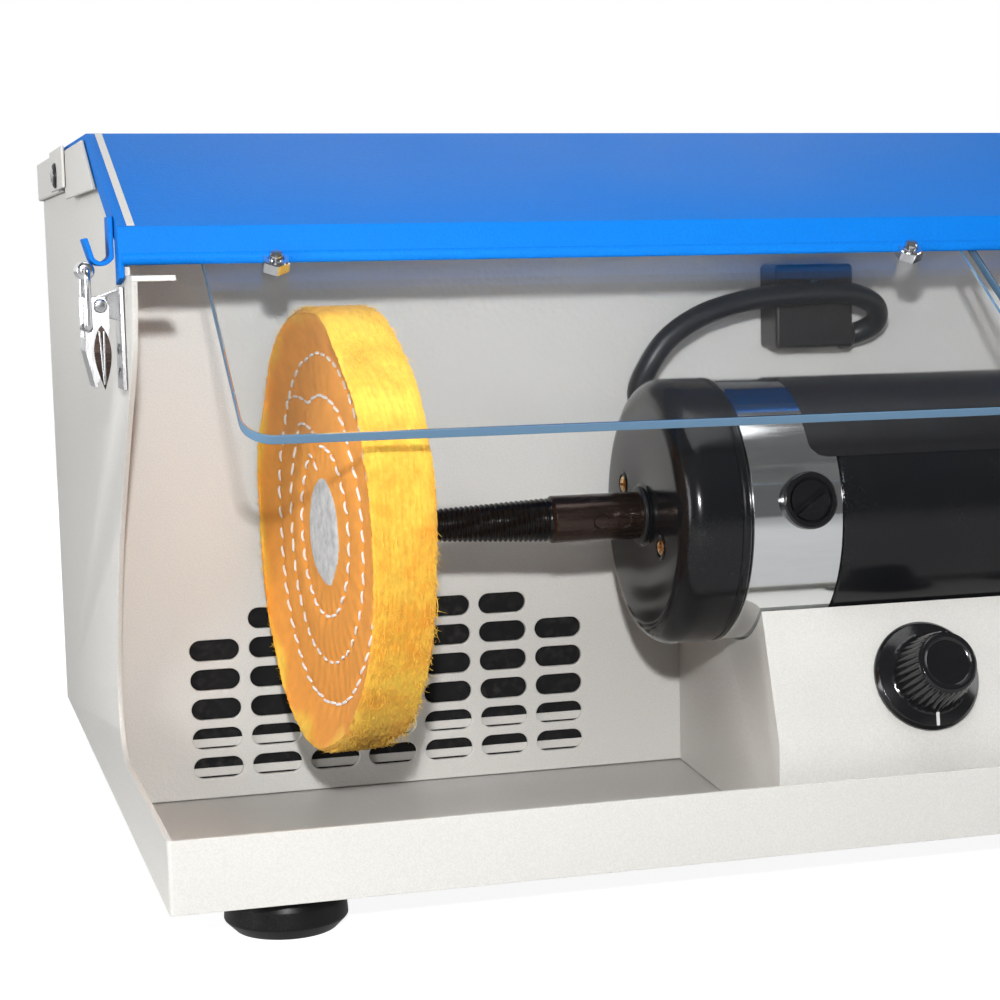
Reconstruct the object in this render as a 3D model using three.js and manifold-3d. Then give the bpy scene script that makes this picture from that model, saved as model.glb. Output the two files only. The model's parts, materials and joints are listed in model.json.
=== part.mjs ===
// Bench polishing machine: a sheet steel cabinet open at the front, a two ended motor on a pedestal,
// a cloth buff at each end and a hinged lid that carries two clear shields.
// Millimetres. While it is built, X runs right from the cabinet's left side, Y back from the front lip
// and Z up from the underside of the base pan. The last lines bring the origin under the middle.
import * as THREE from "three";
import { mergeVertices } from "three/addons/utils/BufferGeometryUtils.js";
import Module from "manifold-3d";

const wasm = await Module();
wasm.setup();

// Cabinet
const cabinetWidth = 500;
const cabinetDepth = 330;
const cabinetHeight = 208;
const sheet = 1.5;
const seam = 0.3; // kept between pieces that touch
const overrun = 2; // how far a cutter passes the face it leaves
const lipHeight = 20;
const wallSetback = 124; // from the front to the slotted wall
const wallFlange = 12;
const panCorner = 1.35;

// Open mouth of each side panel, seen from the side
const mouthDepth = 117;
const noseDrop = 2.5; // from the lid's lip to the nose
const noseSetback = 26;
const noseTab = 10;
// Each pair is a share of the mouth's depth and a share of its height above the lip
const mouthShares = [[0.89, 0], [0.965, 0.035], [1, 0.116], [0.966, 0.226], [0.795, 0.45],
  [0.515, 0.68], [0.31, 0.83], [0.235, 0.93]];

// Slots of the front wall and of the rear panel
const slotLength = 15.6;
const slotHeight = 6.6;
const slotPitchAcross = 18.66;
const slotPitchUp = 9.35;
const slotFirstX = 30.9;
const slotFirstZ = 11.5;
const slotColumns = 7;
const slotRows = 6;
const slotEndSteps = 3;

// Lid
const lidFront = 40;
const lidLip = 10.5;
const lidHeadroom = 23.2; // from the buffs' top to where the lid's slope starts
const lidSlopeEnd = 120;
const lidBack = 212;
const lidFlange = 7;
const lidHem = 1.7; // radius of the rolled lower edge
const lidTongueHeight = 15.5;
const lidTongueWidth = 9;
const lidOpenGap = 3.8; // half the gap over the hinge

// Rear cover
const coverFlange = 14;

// Lid hinges and the rail under them
const railHalf = 26;
const hingeBarrel = 3;
const hingePin = 1.3;
const hingeLength = 60;
const hingeKnuckles = 3;
const hingeInset = 70;
const hingeLeaf = 20;
const hingePlate = 1.2;

// Clear shields, one in front of each half
const shieldThickness = 3;
const shieldInset = 21;
const shieldMiddleGap = 4;
const shieldReach = 74; // from under the lid's hem to the free edge
const shieldTuck = 8; // the strip behind the hem
const shieldLean = 33.5; // degrees below level
const shieldCorner = 8;

// Motor
const motorSetback = 57.5;
const motorHeight = 92.3;
const motorRadius = 38.5;
const capRadius = 39;
const capLength = 20.6;
const capRounding = 7;
const capRoundingSteps = 3;
const ringLength = 28.5;
const sleeveLength = 101;
const brushCapRadius = 8.3;
const brushCapHeight = 2.6;
const brushCapLean = 9; // degrees above level
// Shares of the brush cap's radius, the last two of its height
const brushCapShares = { rim: 0.95, well: 0.5, foot: 0.45, shoulder: 0.8, floor: 0.5 };
const rotorRadius = 5;

// Spindles and buffs
const collarRadius = 7;
const collarLength = 28.4;
const washerRadius = 8.4;
const washerThickness = 1;
const taperLargeRadius = 6.5;
const taperSmallRadius = 3.2;
const taperLength = 62;
const taperTipEdge = 1;
const buffRadius = 63.5;
const buffThickness = 17.4;
const buffSetback = 99.7; // from the motor cap's face to the buff's outer face
const buffLean = 5; // degrees, as a cloth buff pulled on to a taper sits
const buffDish = 4; // depth of the stitched middle below the rim
const buffPatchRadius = 15.4;
const buffPatchHeight = 0.8;
const buffEdgeRounding = 2.5;
const buffStitchShares = [0.386, 0.594, 0.786]; // radii of the rings of stitching
const buffStitchWidth = 1.6;
const buffSides = 28;
const buffStitchDepth = 0.7;

// Pedestal
const pedestalWidth = 148;
const pedestalFront = 12.5;
const pedestalFrontHeight = 29;
const browDrop = 26.9; // from the motor's axis to the pedestal's brow
const pedestalBrowSetback = 29;
const pedestalRearHeight = 40;
const cradleShare = 0.5; // where the cradle ends, as a share of the way to the motor's back

// Speed knob, rocker switch and what is behind them
const knobOffset = -25;
const knobUpShare = 0.42;
const knobSkirtRadius = 16.5;
const knobSkirtHeight = 3.5;
const knobRadius = 11.5;
const knobHeight = 17;
const knobFlutes = 30;
const knobFluteDepth = 0.5;
const knobRecess = 1.2;
const knobRecessShare = 0.72;
const knobSkirtEdgeShare = 0.35;
const knobShaftRadius = 3;
const switchOffset = 25;
const switchWidth = 15;
const switchLength = 21;
const switchBezel = 2;
const switchDepth = 18;
const rockerDish = 8;
const rockerTilt = 9;
const rockerDepthShare = 0.2;
const rockerFootShare = 0.7;
const boardLength = 70;
const boardWidth = 40;
const boardThickness = 1.6;
const boardStandoff = 6;
const boardSetbackShare = 0.25; // of its width, forward of the pedestal's middle
const standoffShares = { x: 0.42, y: 0.38 }; // of the board's length and width, from its middle
const heatSinkHeight = 14;
const heatSinkFins = 5;
const heatSinkShares = { length: 1 / 3, front: 1 / 6, back: 1 / 2 };
const potRadius = 8;
const potDepth = 9;
const potLugShares = { half: 0.7, reach: 1.4, base: 0.7 };

// Motor lead and the block it runs into
const leadRadius = 3.7;
const leadSides = 8;
const leadSteps = 36;
const glandRadius = 5.6;
const glandLength = 7;
const glandCollarShare = 0.5;
const glandInset = 11; // from the motor cap's back to the gland's axis
const glandLean = 10; // degrees above level
const blockWidth = 27;
const blockHeight = 27;
const blockDepth = 15;
const blockOffset = -22.5;
const blockRise = 44.7; // from the motor's axis to the block's underside
// The lead's way round, chosen by hand, from the middle of the motor
const leadRoute = [[-69.5, 55, 13.2], [-73.5, 56, 18.2], [-79.5, 54, 23.7], [-84, 50, 32.2],
  [-81.2, 47.5, 40.7], [-74.8, 46.7, 49.2], [-63.8, 46.7, 56], [-48.3, 46.7, 60.4],
  [-29.1, 46.7, 62.3], [-11.4, 46.9, 61.9], [-2, 49.5, 57.7], [0.2, 54.5, 52.3]];

// Latches. Their drops are measured from the height where the lid's slope starts
const latchSetback = 46;
const latchWidth = 15;
const latchPivotDrop = 21;
const latchPivotReach = 6.6;
const latchPlate = 1;
const latchPlateDrop = 16;
const latchPlateLength = 28;
const leverLength = 22;
const leverDepth = 4.4;
const latchPinRadius = 1.2;
const latchPinSides = 12;
const earReachShare = 1.6; // of the pin's radius
// Shares of the lever's length: where its cheeks bend in, end behind and start to widen
const leverShares = { knee: 0.55, heel: 0.85, brow: 0.3 };
const bailReach = 15.5;
const bailWire = 0.9;
const bailPivotDrop = 6;
const bailPivotOut = 3.2;
const bailStubShare = 0.7; // of the lever's plate
const keeperRise = 3;
const keeperWidth = 11;
const keeperPlate = 1.2;
const keeperTipDrop = 3;
const keeperTroughDrop = 9.5;
const keeperReach = 8;
// Of the hook's radius, then of a half turn
const keeperCurlShares = { rise: 0.4, start: 0.12, turn: 0.72 };
const keeperSteps = 6;

// Feet
const footRadius = 17;
const footTopRadius = 15;
const footHeight = 12;
const footInsetX = 34;
const footInsetY = 22;
const footEdge = 1.5;
const footDimple = 2;
const footDimpleRadius = 6;

// Dust extraction behind the wall
const filterThickness = 12;
const filterMargin = 6;
const filterTray = 14;
const fanSize = 120;
const fanDepth = 30;
const fanBore = 56;
const fanHubRadius = 20;
const fanBlades = 7;
const fanBladeThickness = 1.6;
const fanBladePitch = 42; // degrees
const fanTipGap = 2;
const fanStrut = 5;
const fanStruts = 4;
const fanMotorShare = 1 / 3; // of the fan's depth
const fanNoseShare = 0.85; // of the hub's radius
const fanHeight = 98;
const exhaustSlots = 9;
const exhaustSlotHeight = 5;
const exhaustMargin = 2; // from the slots' ends to the fan's bore
const inletWidth = 48;
const inletHeight = 28;
const inletDepth = 22;
const inletFrame = 2.4;
const inletInset = 100;
const inletZ = 40;
const inletPins = 3;
const inletPinSpread = 1.2;

// Faces round a full turn
const coarse = 14;
const medium = 24;
const fine = 36;
const wireSides = 8;

// Places worked out from the sizes above
const wallFront = wallSetback;
const wallBack = wallFront + sheet;
const underLid = cabinetHeight - sheet - seam;
const middle = cabinetWidth / 2;
const sleeveLeft = middle - sleeveLength / 2;
const ringLeft = sleeveLeft - ringLength;
const capLeft = ringLeft - capLength;
const buffLeft = capLeft - buffSetback;
const lidSlopeStartHeight = motorHeight + buffRadius + lidHeadroom;
const pedestalBrow = motorHeight - browDrop;
const slopeRise = (cabinetHeight - lidSlopeStartHeight) / (lidSlopeEnd - lidFront);
const lipBottom = lidSlopeStartHeight - lidLip;
const noseHeight = lipBottom - noseDrop;
const hemCentre = lidFront + sheet / 2;
const behindHem = hemCentre + lidHem + seam;
const hingeY = lidBack + lidOpenGap;
const hingeZ = cabinetHeight - sheet / 2;
const cradleRadius = Math.max(motorRadius, capRadius) + seam;

const paint = (color, roughness, metalness = 0) =>
  new THREE.MeshStandardMaterial({ color, roughness, metalness });
const cream = paint(0xe8e7e2, 0.5);
const blue = paint(0x1b78e6, 0.4);
const gloss = paint(0x0b0c0e, 0.18);
const satin = paint(0x17181a, 0.45);
const aluminium = paint(0xc9ccd0, 0.16, 1);
const steel = paint(0xb9bcbf, 0.25, 1);
const blackSteel = paint(0x1c1918, 0.35, 0.8);
const rubber = paint(0x121214, 0.8);
const cloth = paint(0xefa93c, 0.95);
const acrylic = new THREE.MeshStandardMaterial({
  color: 0xbfdcf0, roughness: 0.05, transparent: true, opacity: 0.35 });
const foam = paint(0x222426, 0.95);
const board = paint(0x2f6b43, 0.6);
const lead = paint(0x1a1b1e, 0.55);

// Turns a closed geometry's faces outwards, so that its volume counts as positive
function outward(geometry) {
  const flat = geometry.index ? geometry.toNonIndexed() : geometry;
  const p = flat.attributes.position;
  const [a, b, c] = [new THREE.Vector3(), new THREE.Vector3(), new THREE.Vector3()];
  let volume = 0;
  for (let i = 0; i < p.count; i += 3) {
    a.fromBufferAttribute(p, i);
    b.fromBufferAttribute(p, i + 1);
    c.fromBufferAttribute(p, i + 2);
    volume += a.dot(b.cross(c));
  }
  if (volume >= 0) return flat;
  const turned = new Float32Array(p.array);
  for (let i = 0; i < turned.length; i += 9) {
    const [second, third] = [turned.slice(i + 3, i + 6), turned.slice(i + 6, i + 9)];
    turned.set(third, i + 3);
    turned.set(second, i + 6);
  }
  return new THREE.BufferGeometry().setAttribute("position", new THREE.BufferAttribute(turned, 3));
}

// A closed geometry as a solid that can be joined to others and cut
function solid(geometry) {
  const bare = outward(geometry).clone();
  bare.deleteAttribute("normal");
  bare.deleteAttribute("uv");
  const merged = mergeVertices(bare, seam / 1000);
  return new wasm.Manifold(new wasm.Mesh({
    numProp: 3,
    vertProperties: merged.attributes.position.array,
    triVerts: new Uint32Array(merged.index.array),
  }));
}

const joined = (...solids) => solids.reduce((all, one) => all.add(one));

function geometryOf(body) {
  const mesh = body.getMesh();
  const geometry = new THREE.BufferGeometry();
  geometry.setAttribute("position", new THREE.BufferAttribute(mesh.vertProperties, 3));
  geometry.setIndex(new THREE.BufferAttribute(mesh.triVerts, 1));
  geometry.computeVertexNormals();
  return geometry;
}

const point = (x, y) => new THREE.Vector2(x, y);
const outline = (points) => new THREE.Shape(points);
const [axisX, axisY, axisZ] = [
  new THREE.Vector3(1, 0, 0), new THREE.Vector3(0, 1, 0), new THREE.Vector3(0, 0, 1)];

const extruded = (shape, depth, curveSegments = coarse / 4) =>
  new THREE.ExtrudeGeometry(shape, { depth, steps: 1, bevelEnabled: false, curveSegments });

// A Y,Z outline carried along X
function alongX(shape, from, to, curveSegments) {
  const turn = new THREE.Matrix4().makeBasis(axisY, axisZ, axisX);
  return solid(extruded(shape, to - from, curveSegments).applyMatrix4(turn).translate(from, 0, 0));
}

// An X,Z outline carried along Y
function alongY(shape, from, to, curveSegments) {
  const turn = new THREE.Matrix4().makeBasis(axisX, axisZ, axisY.clone().negate());
  return solid(extruded(shape, to - from, curveSegments).applyMatrix4(turn).translate(0, to, 0));
}

// An X,Y outline carried along Z
function alongZ(shape, from, to, curveSegments) {
  return solid(extruded(shape, to - from, curveSegments).translate(0, 0, from));
}

function block(x0, x1, y0, y1, z0, z1) {
  const box = new THREE.BoxGeometry(x1 - x0, y1 - y0, z1 - z0);
  return solid(box.translate((x0 + x1) / 2, (y0 + y1) / 2, (z0 + z1) / 2));
}

// A profile of radius and height pairs turned about an axis that starts at a place and runs along a direction
function turned(profile, place, direction, faces = medium) {
  const lathe = new THREE.LatheGeometry(profile.map(([r, h]) => point(r, h)), faces);
  const turn = new THREE.Quaternion().setFromUnitVectors(axisY, direction.clone().normalize());
  return solid(lathe.applyQuaternion(turn).translate(...place));
}

const rod = (radius, place, direction, length, faces) =>
  turned([[0, 0], [radius, 0], [radius, length], [0, length]], place, direction, faces);

// A polyline given a thickness to its left, with mitred corners, as an outline
function strip(points, thickness) {
  const normalOf = (a, b) => {
    const along = b.clone().sub(a).normalize();
    return point(-along.y, along.x);
  };
  const inner = points.map((p, i) => {
    const before = i > 0 ? normalOf(points[i - 1], p) : normalOf(p, points[1]);
    const after = i < points.length - 1 ? normalOf(p, points[i + 1]) : before;
    const mitre = before.clone().add(after).normalize();
    return p.clone().addScaledVector(mitre, thickness / mitre.dot(before));
  });
  return outline([...points, ...inner.reverse()]);
}

function roundedBox(x0, x1, z0, z1, radius, Kind = THREE.Shape) {
  const shape = new Kind();
  shape.moveTo(x0 + radius, z0);
  shape.lineTo(x1 - radius, z0);
  shape.absarc(x1 - radius, z0 + radius, radius, -Math.PI / 2, 0);
  shape.lineTo(x1, z1 - radius);
  shape.absarc(x1 - radius, z1 - radius, radius, 0, Math.PI / 2);
  shape.lineTo(x0 + radius, z1);
  shape.absarc(x0 + radius, z1 - radius, radius, Math.PI / 2, Math.PI);
  shape.lineTo(x0, z0 + radius);
  shape.absarc(x0 + radius, z0 + radius, radius, Math.PI, 1.5 * Math.PI);
  return shape;
}

function slotHole(x, z, length = slotLength, height = slotHeight) {
  const [halfLength, radius] = [length / 2, height / 2];
  const points = [];
  for (const side of [1, -1])
    for (let i = 0; i <= slotEndSteps; i++) {
      const turn = Math.PI * (i / slotEndSteps - 1 / 2);
      points.push(point(x + side * (halfLength - radius + radius * Math.cos(turn)),
        z + side * radius * Math.sin(turn)));
    }
  return new THREE.Path(points);
}

const machine = new THREE.Group();

function addPiece(name, body, material, group = machine) {
  const mesh = new THREE.Mesh(geometryOf(body), material);
  mesh.name = name;
  group.add(mesh);
  return mesh;
}

// A left piece and its mirror image on the right
function addPair(name, body, material) {
  addPiece("left_" + name, body, material);
  const right = addPiece("right_" + name, body, material);
  right.scale.x = -1;
  right.position.x = cabinetWidth;
}

// Cabinet sheets
function basePan() {
  const floor = block(sheet + seam, cabinetWidth - sheet - seam,
    sheet / 2, cabinetDepth - sheet - seam, 0, sheet);
  const plan = roundedBox(0, cabinetWidth, 0, 2 * sheet, panCorner);
  const lip = alongZ(plan, 0, lipHeight).subtract(
    block(-overrun, cabinetWidth + overrun, sheet, 2 * sheet + overrun, -overrun, lipHeight + overrun));
  return joined(floor, lip);
}

const slopeHeight = (y) => lidSlopeStartHeight + (y - lidFront) * slopeRise;

function sidePanel() {
  const front = sheet + seam;
  const mouthHeight = noseHeight - lipHeight;
  const curve = new THREE.SplineCurve(mouthShares.map(([deep, up]) =>
    point(deep * mouthDepth, lipHeight + up * mouthHeight)));
  const drop = (sheet + seam) * Math.hypot(1, slopeRise);
  const back = cabinetDepth - sheet - seam;
  const shape = outline([
    point(front, 0), point(back, 0), point(back, underLid), point(lidSlopeEnd, underLid),
    point(behindHem, slopeHeight(behindHem) - drop), point(behindHem, noseHeight),
    point(noseSetback, noseHeight), ...curve.getPoints(fine).reverse(), point(front, lipHeight)]);
  const tab = block(0, sheet + noseTab, noseSetback, behindHem, noseHeight - sheet, noseHeight);
  const flange = block(0, sheet + wallFlange, wallBack + seam, back, underLid - sheet, underLid);
  return joined(alongX(shape, 0, sheet), tab, flange);
}

function grilleWall() {
  const [left, right] = [sheet + seam, cabinetWidth - sheet - seam];
  const shape = outline([
    point(left, sheet + seam), point(right, sheet + seam), point(right, underLid), point(left, underLid)]);
  for (let column = 0; column < slotColumns; column++) {
    const outer = column === 0 || column === slotColumns - 1;
    for (let row = 0; row < slotRows - (outer ? 1 : 0); row++) {
      const [x, z] = [slotFirstX + column * slotPitchAcross, slotFirstZ + row * slotPitchUp];
      shape.holes.push(slotHole(x, z), slotHole(cabinetWidth - x, z));
    }
  }
  const flange = block(left + wallFlange, right - wallFlange, wallFront, wallBack + wallFlange,
    underLid - sheet, underLid);
  return joined(alongY(shape, wallFront, wallBack), flange);
}

// The exhaust slots get shorter above and below the fan's middle, so that they stay inside its ring
function rearPanel() {
  const shape = outline([
    point(0, 0), point(cabinetWidth, 0), point(cabinetWidth, underLid), point(0, underLid)]);
  const reach = fanBore - exhaustMargin;
  const pitch = (2 * reach) / exhaustSlots;
  for (let i = 0; i < exhaustSlots; i++) {
    const rise = (i - (exhaustSlots - 1) / 2) * pitch;
    const chord = 2 * Math.sqrt(reach * reach - rise * rise);
    shape.holes.push(slotHole(middle, fanHeight + rise, chord, exhaustSlotHeight));
  }
  const [w, h] = [inletWidth / 2 - inletFrame + seam, inletHeight / 2 - inletFrame + seam];
  shape.holes.push(roundedBox(inletInset - w, inletInset + w, inletZ - h, inletZ + h,
    inletFrame, THREE.Path));
  return alongY(shape, cabinetDepth - sheet, cabinetDepth, 3);
}

function rearCover() {
  const [front, back] = [hingeY + lidOpenGap, cabinetDepth + seam + sheet];
  const top = alongX(strip([
    point(back, cabinetHeight - coverFlange), point(back, cabinetHeight), point(front, cabinetHeight)],
    sheet), -seam - sheet, cabinetWidth + seam + sheet);
  const side = (x) => block(x, x + sheet, front, back, cabinetHeight - coverFlange, cabinetHeight);
  return joined(top, side(-seam - sheet), side(cabinetWidth + seam));
}

// Rail across the cabinet that the hinges and the ends of both covers lie over
function hingeRail() {
  const side = sheet + wallFlange + seam;
  const top = Math.min(underLid - hingePlate, hingeZ - hingeBarrel) - seam;
  return block(side, cabinetWidth - side, hingeY - railHalf, hingeY + railHalf, top - sheet, top);
}

// Pedestal, a folded shell with the motor's cradle in its top
function pedestalOutline(shrink) {
  const brow = point(pedestalBrowSetback, pedestalBrow);
  const radius = cradleRadius + shrink;
  const start = Math.atan2(brow.y - motorHeight, brow.x - motorSetback);
  const end = -Math.PI / 2 + cradleShare * (Math.PI / 2);
  const cradle = new THREE.EllipseCurve(motorSetback, motorHeight, radius, radius, start, end, false);
  const slopeLength = Math.hypot(brow.x - pedestalFront, brow.y - pedestalFrontHeight);
  const slope = point(brow.x - pedestalFront, brow.y - pedestalFrontHeight).divideScalar(slopeLength);
  const shoulder = point(pedestalFront + shrink, pedestalFrontHeight + shrink * slope.x);
  const browInside = brow.clone().addScaledVector(slope, -2 * shrink).add(point(shrink * slope.y, 0));
  const arc = cradle.getPoints(coarse).filter((p) => p.x > browInside.x + (shrink > 0 ? shrink : 0));
  const deckFront = arc[arc.length - 1];
  const back = wallFront - seam + shrink;
  return outline([
    point(pedestalFront + shrink, sheet + seam - shrink), shoulder, browInside, ...arc,
    point(back, Math.min(pedestalRearHeight, deckFront.y) - shrink), point(back, sheet + seam - shrink)]);
}

function pedestal() {
  const [left, right] = [middle - pedestalWidth / 2, middle + pedestalWidth / 2];
  const shell = alongX(pedestalOutline(0), left, right).subtract(
    alongX(pedestalOutline(sheet), left + sheet, right - sheet));
  return shell.subtract(faceCutter(knobOffset, rod(knobShaftRadius + seam, [0, 0, -switchDepth],
    axisZ, 2 * switchDepth, coarse))).subtract(faceCutter(switchOffset,
    block(-switchWidth / 2 - seam, switchWidth / 2 + seam, -switchLength / 2 - seam,
      switchLength / 2 + seam, -switchDepth, switchDepth)));
}

// The sloped face as a frame: X across, Y up the slope, Z out of the face
const slopeAngle = Math.atan2(pedestalBrow - pedestalFrontHeight, pedestalBrowSetback - pedestalFront);
const faceUp = new THREE.Vector3(0, Math.cos(slopeAngle), Math.sin(slopeAngle));
const faceOut = axisX.clone().cross(faceUp);

function faceMatrix(offset) {
  const place = new THREE.Vector3(middle + offset, pedestalFront, pedestalFrontHeight);
  const slopeLength = Math.hypot(pedestalBrow - pedestalFrontHeight, pedestalBrowSetback - pedestalFront);
  place.addScaledVector(faceUp, knobUpShare * slopeLength);
  return new THREE.Matrix4().makeBasis(axisX, faceUp, faceOut).setPosition(place);
}

const moved = (body, matrix) => solid(geometryOf(body).applyMatrix4(matrix));
const faceCutter = (offset, body) => moved(body, faceMatrix(offset));

function speedKnob() {
  const skirtTop = seam + knobSkirtHeight;
  const top = seam + knobHeight;
  const skirt = turned([
    [0, seam], [knobSkirtRadius, seam], [knobSkirtRadius, seam + knobSkirtHeight * knobSkirtEdgeShare],
    [knobRadius, skirtTop], [0, skirtTop]], [0, 0, 0], axisZ);
  const flutes = [];
  for (let i = 0; i < 2 * knobFlutes; i++) {
    const turn = (Math.PI * i) / knobFlutes;
    const radius = knobRadius + (i % 2 ? -knobFluteDepth / 2 : knobFluteDepth / 2);
    flutes.push(point(radius * Math.cos(turn), radius * Math.sin(turn)));
  }
  const grip = alongZ(outline(flutes), skirtTop - sheet, top);
  const recess = rod(knobRadius * knobRecessShare, [0, 0, top - knobRecess], axisZ, knobHeight);
  const shaft = rod(knobShaftRadius, [0, 0, -sheet - seam], axisZ, sheet + 3 * seam, coarse);
  return faceCutter(knobOffset, joined(skirt, grip, shaft).subtract(recess));
}

function switchFrame() {
  const [w, l] = [switchWidth / 2, switchLength / 2];
  const bezel = block(-w - switchBezel, w + switchBezel, -l - switchBezel, l + switchBezel,
    seam, seam + switchBezel);
  const body = block(-w, w, -l, l, -switchDepth, seam + switchBezel / 2);
  const well = block(-w + switchBezel, w - switchBezel, -l + switchBezel, l - switchBezel,
    -switchDepth / 2, switchDepth);
  return faceCutter(switchOffset, joined(bezel, body).subtract(well));
}

function rocker() {
  const [w, l] = [switchWidth / 2 - switchBezel - seam, switchLength / 2 - switchBezel - 2 * seam];
  const rise = (tilt) => l * Math.tan(THREE.MathUtils.degToRad(tilt));
  const top = seam + switchBezel;
  const bottom = -switchDepth * rockerDepthShare;
  const shape = outline([point(-l, top + rise(rockerDish + rockerTilt)), point(0, top),
    point(l, top + rise(rockerDish - rockerTilt)), point(l * rockerFootShare, bottom),
    point(-l * rockerFootShare, bottom)]);
  return faceCutter(switchOffset, alongX(shape, -w, w));
}

function speedPot() {
  const body = rod(potRadius, [0, 0, -sheet - 2 * seam - potDepth], axisZ, potDepth);
  const half = potRadius * potLugShares.half;
  const lug = block(-half, half, -potRadius * potLugShares.reach, 0,
    -sheet - 2 * seam - potDepth, -sheet - 2 * seam - potDepth * potLugShares.base);
  return faceCutter(knobOffset, joined(body, lug));
}

function speedBoard() {
  const z = sheet + boardStandoff;
  const y = (pedestalFront + wallFront) / 2 - boardWidth * boardSetbackShare;
  let made = block(middle - boardLength / 2, middle + boardLength / 2, y, y + boardWidth,
    z, z + boardThickness);
  for (const across of [-1, 1])
    for (const along of [-1, 1])
      made = joined(made, rod(boardThickness, [middle + across * standoffShares.x * boardLength,
        y + boardWidth / 2 + along * standoffShares.y * boardWidth, sheet + seam], axisZ,
        boardStandoff, wireSides));
  const [front, back] = [y + boardWidth * heatSinkShares.front, y + boardWidth * heatSinkShares.back];
  const finPitch = boardLength * heatSinkShares.length / heatSinkFins;
  for (let i = 0; i < heatSinkFins; i++) {
    const x = middle + i * finPitch;
    made = joined(made, block(x, x + finPitch / 2, front, back, z + boardThickness / 2,
      z + boardThickness + heatSinkHeight));
  }
  return joined(made, block(middle, middle + heatSinkFins * finPitch, front, back,
    z + boardThickness / 2, z + 2 * boardThickness));
}

// Motor
const motorAt = (x) => [x, motorSetback, motorHeight];

function motorCap() {
  const [r, k] = [capRadius, capRounding];
  const profile = [[rotorRadius + seam, 0]];
  for (let i = 0; i <= capRoundingSteps; i++) {
    const turn = (Math.PI / 2) * (i / capRoundingSteps);
    profile.push([r - k + k * Math.sin(turn), k - k * Math.cos(turn)]);
  }
  profile.push([r, capLength - seam], [rotorRadius + seam, capLength - seam],
    [rotorRadius + seam, 0]);
  return turned(profile, motorAt(capLeft), axisX, fine);
}

function tube(left, length, radius) {
  return turned([[rotorRadius + seam, 0], [radius, 0], [radius, length], [rotorRadius + seam, length],
    [rotorRadius + seam, 0]], motorAt(left), axisX, fine);
}

function brushCap() {
  const lean = THREE.MathUtils.degToRad(brushCapLean);
  const out = new THREE.Vector3(0, -Math.cos(lean), Math.sin(lean));
  const x = sleeveLeft - brushCapRadius - 2 * sheet;
  const start = new THREE.Vector3(...motorAt(x)).addScaledVector(out, motorRadius + seam);
  const [r, h] = [brushCapRadius, brushCapHeight];
  const { rim, well, foot, shoulder, floor } = brushCapShares;
  const cap = turned([[0, 0], [r, 0], [r, h * shoulder], [r * rim, h], [r * well, h],
    [r * foot, h * floor], [0, h * floor]], start.toArray(), out, coarse);
  return cap.subtract(solid(new THREE.CylinderGeometry(motorRadius + seam, motorRadius + seam,
    2 * ringLength, 2 * fine).rotateZ(Math.PI / 2).translate(...motorAt(x))));
}

function motorShaft() {
  const reach = capLeft - collarLength / 2;
  return rod(rotorRadius, motorAt(reach), axisX, cabinetWidth - 2 * reach, coarse);
}

// Spindle with its collar at the motor and a taper that ends inside the buff. Grown a little, it is
// the hollow that the buff leaves for it.
function spindleBar(growth) {
  const length = taperLength + collarLength;
  const start = capLeft - seam - length;
  return turned([[0, -growth], [taperSmallRadius - taperTipEdge + growth, -growth],
    [taperSmallRadius + growth, taperTipEdge - growth], [taperLargeRadius + growth, taperLength - growth],
    [collarRadius + growth, taperLength - growth], [collarRadius + growth, length - washerThickness],
    [washerRadius + growth, length - washerThickness], [washerRadius + growth, length], [0, length]],
    motorAt(start), axisX, medium);
}

function spindle() {
  const bore = capLeft - collarLength / 2 - seam;
  return spindleBar(0).subtract(rod(rotorRadius + seam, motorAt(bore), axisX, collarLength, coarse));
}

// Cloth buff, pulled on to the taper a little askew. Its stitched middle is thinner than its loose rim.
function buff() {
  const [r, t, e, patch] = [buffRadius, buffThickness, buffEdgeRounding, buffPatchRadius];
  const [dish, crown] = [buffDish, buffDish - buffPatchHeight];
  const rings = buffStitchShares.map((share) => share * r).flatMap((ring) =>
    [[ring - buffStitchWidth, dish], [ring, dish + buffStitchDepth], [ring + buffStitchWidth, dish]]);
  const face = [[0, crown], [patch, crown], [patch, dish], ...rings, [r - e, 0], [r, e]];
  const back = [...face].reverse().map(([radius, deep]) => [radius, t - deep]);
  const body = turned([...face, ...back], [-t / 2, 0, 0], axisX, buffSides);
  const turn = new THREE.Matrix4().makeRotationZ(THREE.MathUtils.degToRad(buffLean));
  const place = new THREE.Matrix4().makeTranslation(...motorAt(buffLeft + t / 2));
  return moved(body, place.multiply(turn)).subtract(spindleBar(seam));
}

// Gland on the back of the motor, where the lead comes out
const glandLeanAngle = THREE.MathUtils.degToRad(glandLean);
const glandOut = new THREE.Vector3(0, Math.cos(glandLeanAngle), Math.sin(glandLeanAngle));
const glandStart = new THREE.Vector3(capLeft + capLength + glandInset, motorSetback, motorHeight)
  .addScaledVector(glandOut, motorRadius + seam);

function leadGland() {
  const [r, h] = [glandRadius, glandLength];
  const body = turned([[0, -r], [r, -r], [r, h * glandCollarShare], [leadRadius + sheet / 2, h], [0, h]],
    glandStart.toArray(), glandOut, coarse);
  return body.subtract(solid(new THREE.CylinderGeometry(motorRadius + seam, motorRadius + seam,
    2 * ringLength, 2 * fine).rotateZ(Math.PI / 2).translate(glandStart.x, motorSetback, motorHeight)));
}

const blockBase = motorHeight + blockRise;

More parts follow.
